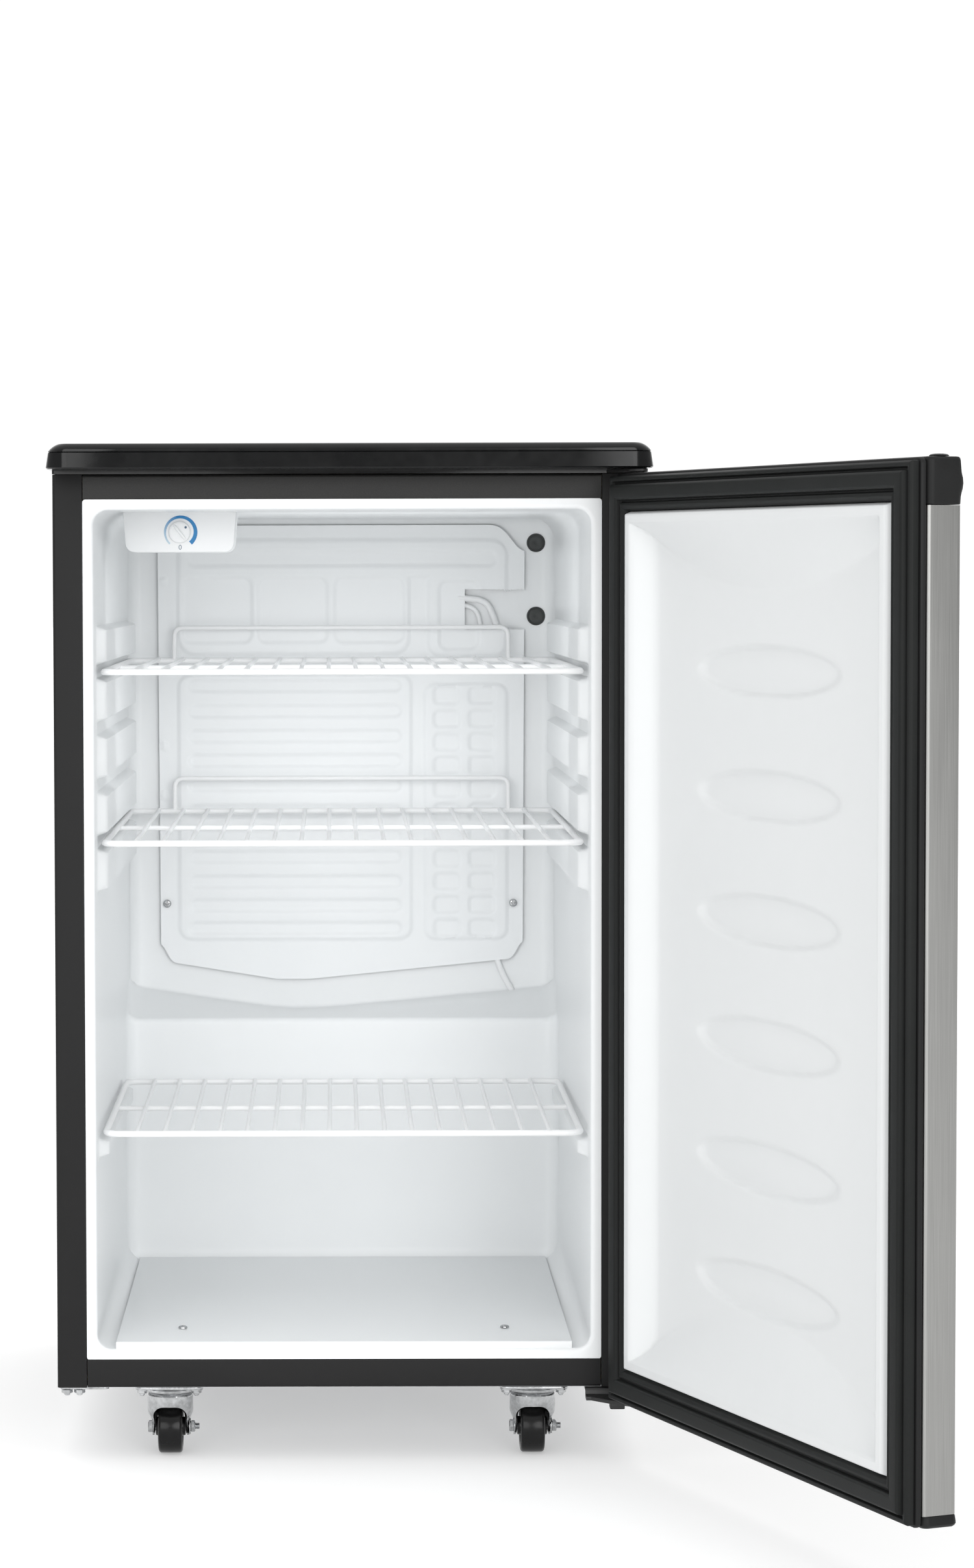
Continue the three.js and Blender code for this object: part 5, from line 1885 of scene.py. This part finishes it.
@dataclass
class Machinery:
    """What cools the cabinet, behind and below it."""

    runs: int = 12
    tube_radius: float = 2.5
    wire_radius: float = 0.8
    wire_pitch: float = 14.0
    bracket_reach: float = 184.0
    bracket_runs: tuple[int, int] = (2, 9)
    pot: tuple[float, float] = (81.0, 52.5)
    pot_roundness: float = 0.85
    rail_sheet: float = 1.6

    def build(self) -> None:
        """Makes the condenser, compressor and pan, and the relay cover, rail, drier and cord inlet."""
        self._condenser()
        self._compressor()
        self._relay()
        self._pan()
        self._rail()
        self._drier()
        self._inlet()

    def _condenser(self) -> None:
        """The condenser: one tube with half-round bends, between two rows of upright wires."""
        box = HERE.box("condenser")
        pitch = (box.high[2] - box.low[2] - 16) / (self.runs - 1)
        lowest = box.low[2] + 8
        reach = box.half[0] - pitch / 2 - self.tube_radius
        y = box.high[1] - 3.0
        route = [(-reach, lowest)]
        turn = np.radians(np.linspace(-90, 90, 13))
        for run in range(self.runs - 1):
            hand = 1 if run % 2 == 0 else -1
            middle = lowest + (run + 0.5) * pitch
            route += list(zip(hand * (reach + np.cos(turn) * pitch / 2), middle + np.sin(turn) * pitch / 2))
        route.append((-reach if self.runs % 2 == 0 else reach, lowest + (self.runs - 1) * pitch))
        flat = np.array(route)
        path = np.stack([flat[:, 0] + box.centre[0], np.full(len(flat), y), flat[:, 1]], axis=-1)
        shell = Shell().solid(tube(path, self.tube_radius, (0, 1, 0), 10))
        count = int(2 * reach / self.wire_pitch)
        for index in range(count):
            x = box.centre[0] + (index - (count - 1) / 2) * self.wire_pitch
            for depth in (y - 3.2, y + 2.6):
                wire = np.array([(x, depth, box.low[2] + 1), (x, depth, box.high[2] - 1)])
                shell.solid(tube(wire, self.wire_radius, (1, 0, 0), 6))
        for hand in (-1, 1):
            for run in self.bracket_runs:
                x, z = box.centre[0] + hand * self.bracket_reach, lowest + run * pitch
                shell.solid(slab((x - 6, box.low[1], z - 8), (x + 6, y - 2, z + 8), 2.5, 0.6, 1))
        shell.piece("condenser", BRACKET_PAINT, "bracket_steel", crease=50)

    def _compressor(self) -> None:
        """The compressor: oval loops that swell to the welded seam, on a plate with four rubber rests."""
        box = HERE.box("compressor")
        bottom, top = box.low[2] + 14.6, box.high[2]
        x, y = box.centre[0], box.centre[1] + 3
        height = top - bottom
        share = np.concatenate(
            [np.linspace(0, 0.55, 12), [0.555, 0.56, 0.6, 0.605], np.linspace(0.62, 1, 12)]
        )
        size = np.clip(1 - np.abs(share * 2 - 1) ** 3.2, 0, 1) ** 0.45 * 0.97 + 0.02
        size[12:16] = [0.985, 1.0, 1.0, 0.985]
        angle = np.linspace(0, 2 * math.pi, 64, endpoint=False)
        cosine, sine = np.cos(angle), np.sin(angle)
        across = self.pot[0] * size[:, None] * np.sign(cosine) * np.abs(cosine) ** self.pot_roundness
        along = self.pot[1] * size[:, None] * np.sign(sine) * np.abs(sine) ** self.pot_roundness
        level = np.broadcast_to((bottom + share * height)[:, None], across.shape)
        shell = Shell().solid(np.stack([x + across, y + along, level], axis=-1))
        foot = bottom - 2
        shell.solid(slab((x - 92, y - 40, foot), (x + 92, y + 34, foot + 3), 12, 0.6, 2))
        for side in (-80, 80):
            for end in (-30, 24):
                rest = [(0.05, -12), (9, -12), (10, -9), (8, -6), (10, -3), (9, 0), (0.05, 0)]
                shell.solid(lathe((x + side, y + end, foot), rest, 2, 24))
        for offset in (-24, 6, 30):
            path = rounded(
                [
                    (x + offset, y + 40, top - 40), (x + offset, y + 50, top - 18),
                    (x + offset, y + 50, top - 4),
                ],
                7, 6,
            )
            shell.solid(tube(path, 3.0, (1, 0, 0), 12))
        shell.piece("compressor", BRACKET_PAINT, "bracket_steel", crease=40)

    def _relay(self) -> None:
        """The clip-on cover of the starter, with two raised ribs."""
        box = HERE.box("relay_cover")
        shell = Shell().solid(slab(box.low, box.high, 6, 2.2, 1))
        for x in (box.centre[0] - 10, box.centre[0] + 10):
            low = (x - 2.5, box.high[1] - 2, box.low[2] + 10)
            shell.solid(slab(low, (x + 2.5, box.high[1] + 1.4, box.high[2] - 10), 2, 0.8, 1))
        shell.piece("relay_cover", BLACK_PLASTIC, "black_plastic")

    def _pan(self) -> None:
        """The drip pan: a drawn tray with sloping walls and a rolled rim."""
        box = HERE.box("drip_pan")
        profile = [
            (5, box.low[2]), (2.4, box.low[2] + 3), (1.2, box.high[2] - 2), (0, box.high[2] - 1),
            (0.2, box.high[2]),
        ]
        inner = [
            (2.4, box.high[2] - 0.4), (3.6, box.high[2] - 2), (5.0, box.low[2] + 5), (8, box.low[2] + 2.4)
        ]
        points = stack(Loop.of(6), box.low[:2], box.high[:2], 12.0, profile + inner, 2)
        Shell().solid(points).piece("drip_pan", BLACK_PLASTIC, "black_plastic")

    def _rail(self) -> None:
        """The rail under the compressor: a channel with its rear edge turned up and two pressed beads."""
        box = HERE.box("compressor_rail")
        depth = np.linspace(box.low[1], box.high[1] - 3, 46)
        bead = sum(
            2.2 * np.exp(-(((depth - middle) / 5) ** 2)) for middle in (box.low[1] + 22, box.high[1] - 24)
        )
        turned = [
            (box.high[1] - 1.2, box.low[2] + 1.8), (box.high[1] - 1, box.low[2] + 4),
            (box.high[1] - 1, box.high[2]),
        ]
        line = np.vstack([np.stack([depth, box.low[2] + 1 + bead], axis=-1), turned])
        shell = Shell().grid(prism(line, (box.low[0], box.high[0]), 0))
        shell.piece("compressor_rail", GALVANISED, "galvanised", wall=self.rail_sheet)

    def _drier(self) -> None:
        """The filter drier: a fat copper capsule drawn down to a thin tube at each end."""
        box = HERE.box("filter_drier")
        share = np.linspace(-1, 1, 41)
        radius = 2.4 + 6.6 * smoothstep((0.86 - np.abs(share)) / 0.22)
        profile = np.stack([radius, share * box.half[2]], axis=-1)
        profile = np.vstack([[(0.05, -box.half[2])], profile, [(0.05, box.half[2])]])
        Shell().solid(lathe(box.centre, profile, 2, 28)).piece("filter_drier", COPPER, "copper")

    def _inlet(self) -> None:
        """The cord inlet: a ribbed bush in the back sheet."""
        box = HERE.box("cord_inlet")
        length = box.half[1] * 2
        profile = [(4.2, 0), (12, 0), (12.4, 1.2), (11.8, 2.8), (8.4, 3.4)]
        ribs = [(8.0 - 0.16 * step - 0.5 * (step % 2), 4 + step * (length - 5) / 10) for step in range(11)]
        profile += ribs + [(4.2, length)]
        centre = (box.centre[0], box.low[1], box.centre[2])
        Shell().hoop(lathe(centre, profile, 1, 32)).piece("cord_inlet", BLACK_PLASTIC, "black_plastic")


# -------- the studio


@dataclass
class Studio:
    """Camera, floor and light. Distances are metres from the middle of the case's front."""

    camera_offset: tuple[float, float, float] = (-0.014, -3.503, 0.7802)
    pitch: float = 2.954
    yaw: float = 0.071
    roll: float = 0.15
    lens: float = 92.09
    shift: float = 0.101
    floor_glow: float = 0.34
    sky_front: float = 0.36
    sky_back: float = 1.06
    sky_top: float = 1.15
    sun: float = 0.99
    sun_fill: float = 0.7
    sun_softness: float = 30.0
    sun_height: float = 11.0
    sun_side: float = 19.0
    inside_glow: float = 0.26
    inside_size: tuple[float, float] = (0.36, 0.3)
    inside_depth: float = 0.15

    def build(self) -> None:
        """Sets the camera, a pale floor, a white surround, two wide lamps in front and one inside."""
        left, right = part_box("side_panel_left"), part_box("side_panel_right")
        middle = ((left[0].x + right[1].x) / 2, left[0].y)
        data = bpy.data.cameras.new("camera")
        data.lens, data.sensor_width, data.shift_x = self.lens, 36.0, self.shift
        camera = bpy.data.objects.new("camera", data)
        right_of, behind, height = self.camera_offset
        camera.location = (middle[0] + right_of, middle[1] + behind, height)
        turns = [math.radians(turn) for turn in (90 - self.pitch, self.roll, self.yaw)]
        camera.rotation_euler = Euler(turns, "XYZ")
        bpy.context.scene.collection.objects.link(camera)
        bpy.context.scene.camera = camera
        self._floor()
        self._surround()
        self._sun("key", self.sun_side, self.sun)
        self._sun("fill", -self.sun_side, self.sun_fill)
        self._inside_lamp()

    def _inside_lamp(self) -> None:
        """A soft lamp behind the thermostat that lifts the back of the cabinet."""
        low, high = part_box("inner_liner")
        data = bpy.data.lights.new("inside", "AREA")
        data.shape, data.energy = "RECTANGLE", self.inside_glow
        data.size, data.size_y = self.inside_size
        lamp = bpy.data.objects.new("inside", data)
        lamp.location = (
            (low.x + high.x) / 2, low.y + self.inside_depth, high.z - self.inside_size[1] / 2 - 0.02
        )
        lamp.rotation_euler = Euler((math.radians(90), 0.0, 0.0), "XYZ")
        lamp.visible_camera = False
        lamp.visible_glossy = False
        bpy.context.scene.collection.objects.link(lamp)

    def _sun(self, name: str, side: float, strength: float) -> None:
        """A wide soft lamp, the same everywhere, in front of the case.

        Args:
            name: Its name.
            side: How far it stands round to the right, in degrees.
            strength: Its strength.
        """
        data = bpy.data.lights.new(name, "SUN")
        data.energy, data.angle = strength, math.radians(self.sun_softness)
        lamp = bpy.data.objects.new(name, data)
        lamp.rotation_euler = Euler((math.radians(90 - self.sun_height), 0.0, math.radians(side)), "XYZ")
        bpy.context.scene.collection.objects.link(lamp)

    def _floor(self) -> None:
        """A round pale floor, level with the wheels' foot."""
        data = bpy.data.meshes.new("floor")
        angle = np.linspace(0, 2 * math.pi, 96, endpoint=False)
        rim = np.stack([60 * np.cos(angle), 60 * np.sin(angle), np.zeros_like(angle)], axis=-1)
        data.from_pydata(rim.tolist(), [], [list(range(96))])
        made = bpy.data.materials.new("floor")
        made.use_nodes = True
        nodes, links = made.node_tree.nodes, made.node_tree.links
        shader = nodes["Principled BSDF"]
        shader.inputs["Roughness"].default_value = 0.9
        shader.inputs["Specular IOR Level"].default_value = 0.1
        shader.inputs["Emission Color"].default_value = (1.0, 1.0, 1.0, 1.0)
        shader.inputs["Emission Strength"].default_value = self.floor_glow
        clouds = nodes.new("ShaderNodeTexNoise")
        clouds.inputs["Scale"].default_value = 1.2
        links.new(nodes.new("ShaderNodeTexCoord").outputs["Object"], clouds.inputs["Vector"])
        ramp = nodes.new("ShaderNodeValToRGB")
        ramp.color_ramp.elements[0].color = (0.74, 0.74, 0.74, 1.0)
        ramp.color_ramp.elements[1].color = (0.76, 0.76, 0.76, 1.0)
        links.new(clouds.outputs["Fac"], ramp.inputs["Fac"])
        links.new(ramp.outputs["Color"], shader.inputs["Base Color"])
        data.materials.append(made)
        floor = bpy.data.objects.new("floor", data)
        bpy.context.scene.collection.objects.link(floor)

    def _surround(self) -> None:
        """A white surround, dimmer towards the front and brighter overhead, shown without tone mapping."""
        world = bpy.data.worlds.new("surround")
        world.use_nodes = True
        nodes, links = world.node_tree.nodes, world.node_tree.links
        sky = nodes["Background"]
        sky.inputs["Color"].default_value = (1.0, 1.0, 1.0, 1.0)
        split = nodes.new("ShaderNodeSeparateXYZ")
        links.new(nodes.new("ShaderNodeTexCoord").outputs["Generated"], split.inputs["Vector"])
        total = nodes.new("ShaderNodeMath")
        spans = (("Y", 0.72, 0.94, self.sky_front, self.sky_back), ("Z", 0.2, 0.9, 0.0, self.sky_top))
        for index, (axis, start, end, low, high) in enumerate(spans):
            share = nodes.new("ShaderNodeMapRange")
            share.inputs["From Min"].default_value, share.inputs["From Max"].default_value = start, end
            share.inputs["To Min"].default_value, share.inputs["To Max"].default_value = low, high
            links.new(split.outputs[axis], share.inputs["Value"])
            links.new(share.outputs["Result"], total.inputs[index])
        links.new(total.outputs["Value"], sky.inputs["Strength"])
        bpy.context.scene.world = world
        bpy.context.scene.view_settings.view_transform = "Standard"


def main() -> None:
    """Builds the studio and every sub-assembly in order."""
    logging.basicConfig(level=logging.INFO, format="%(message)s")
    Studio().build()
    Case().build()
    Liner().build()
    FloorPlate().build()
    Evaporator().build()
    Thermostat().build()
    for node, guard in (("shelf_top", True), ("shelf_middle", True), ("shelf_bottom", False)):
        Shelf(node, guard).build()
    for end in ("front", "rear"):
        for hand in ("left", "right"):
            Caster(f"caster_{end}_{hand}").build()
    Hinges().build()
    Door().build()
    Machinery().build()


if __name__ == "__main__":
    main()
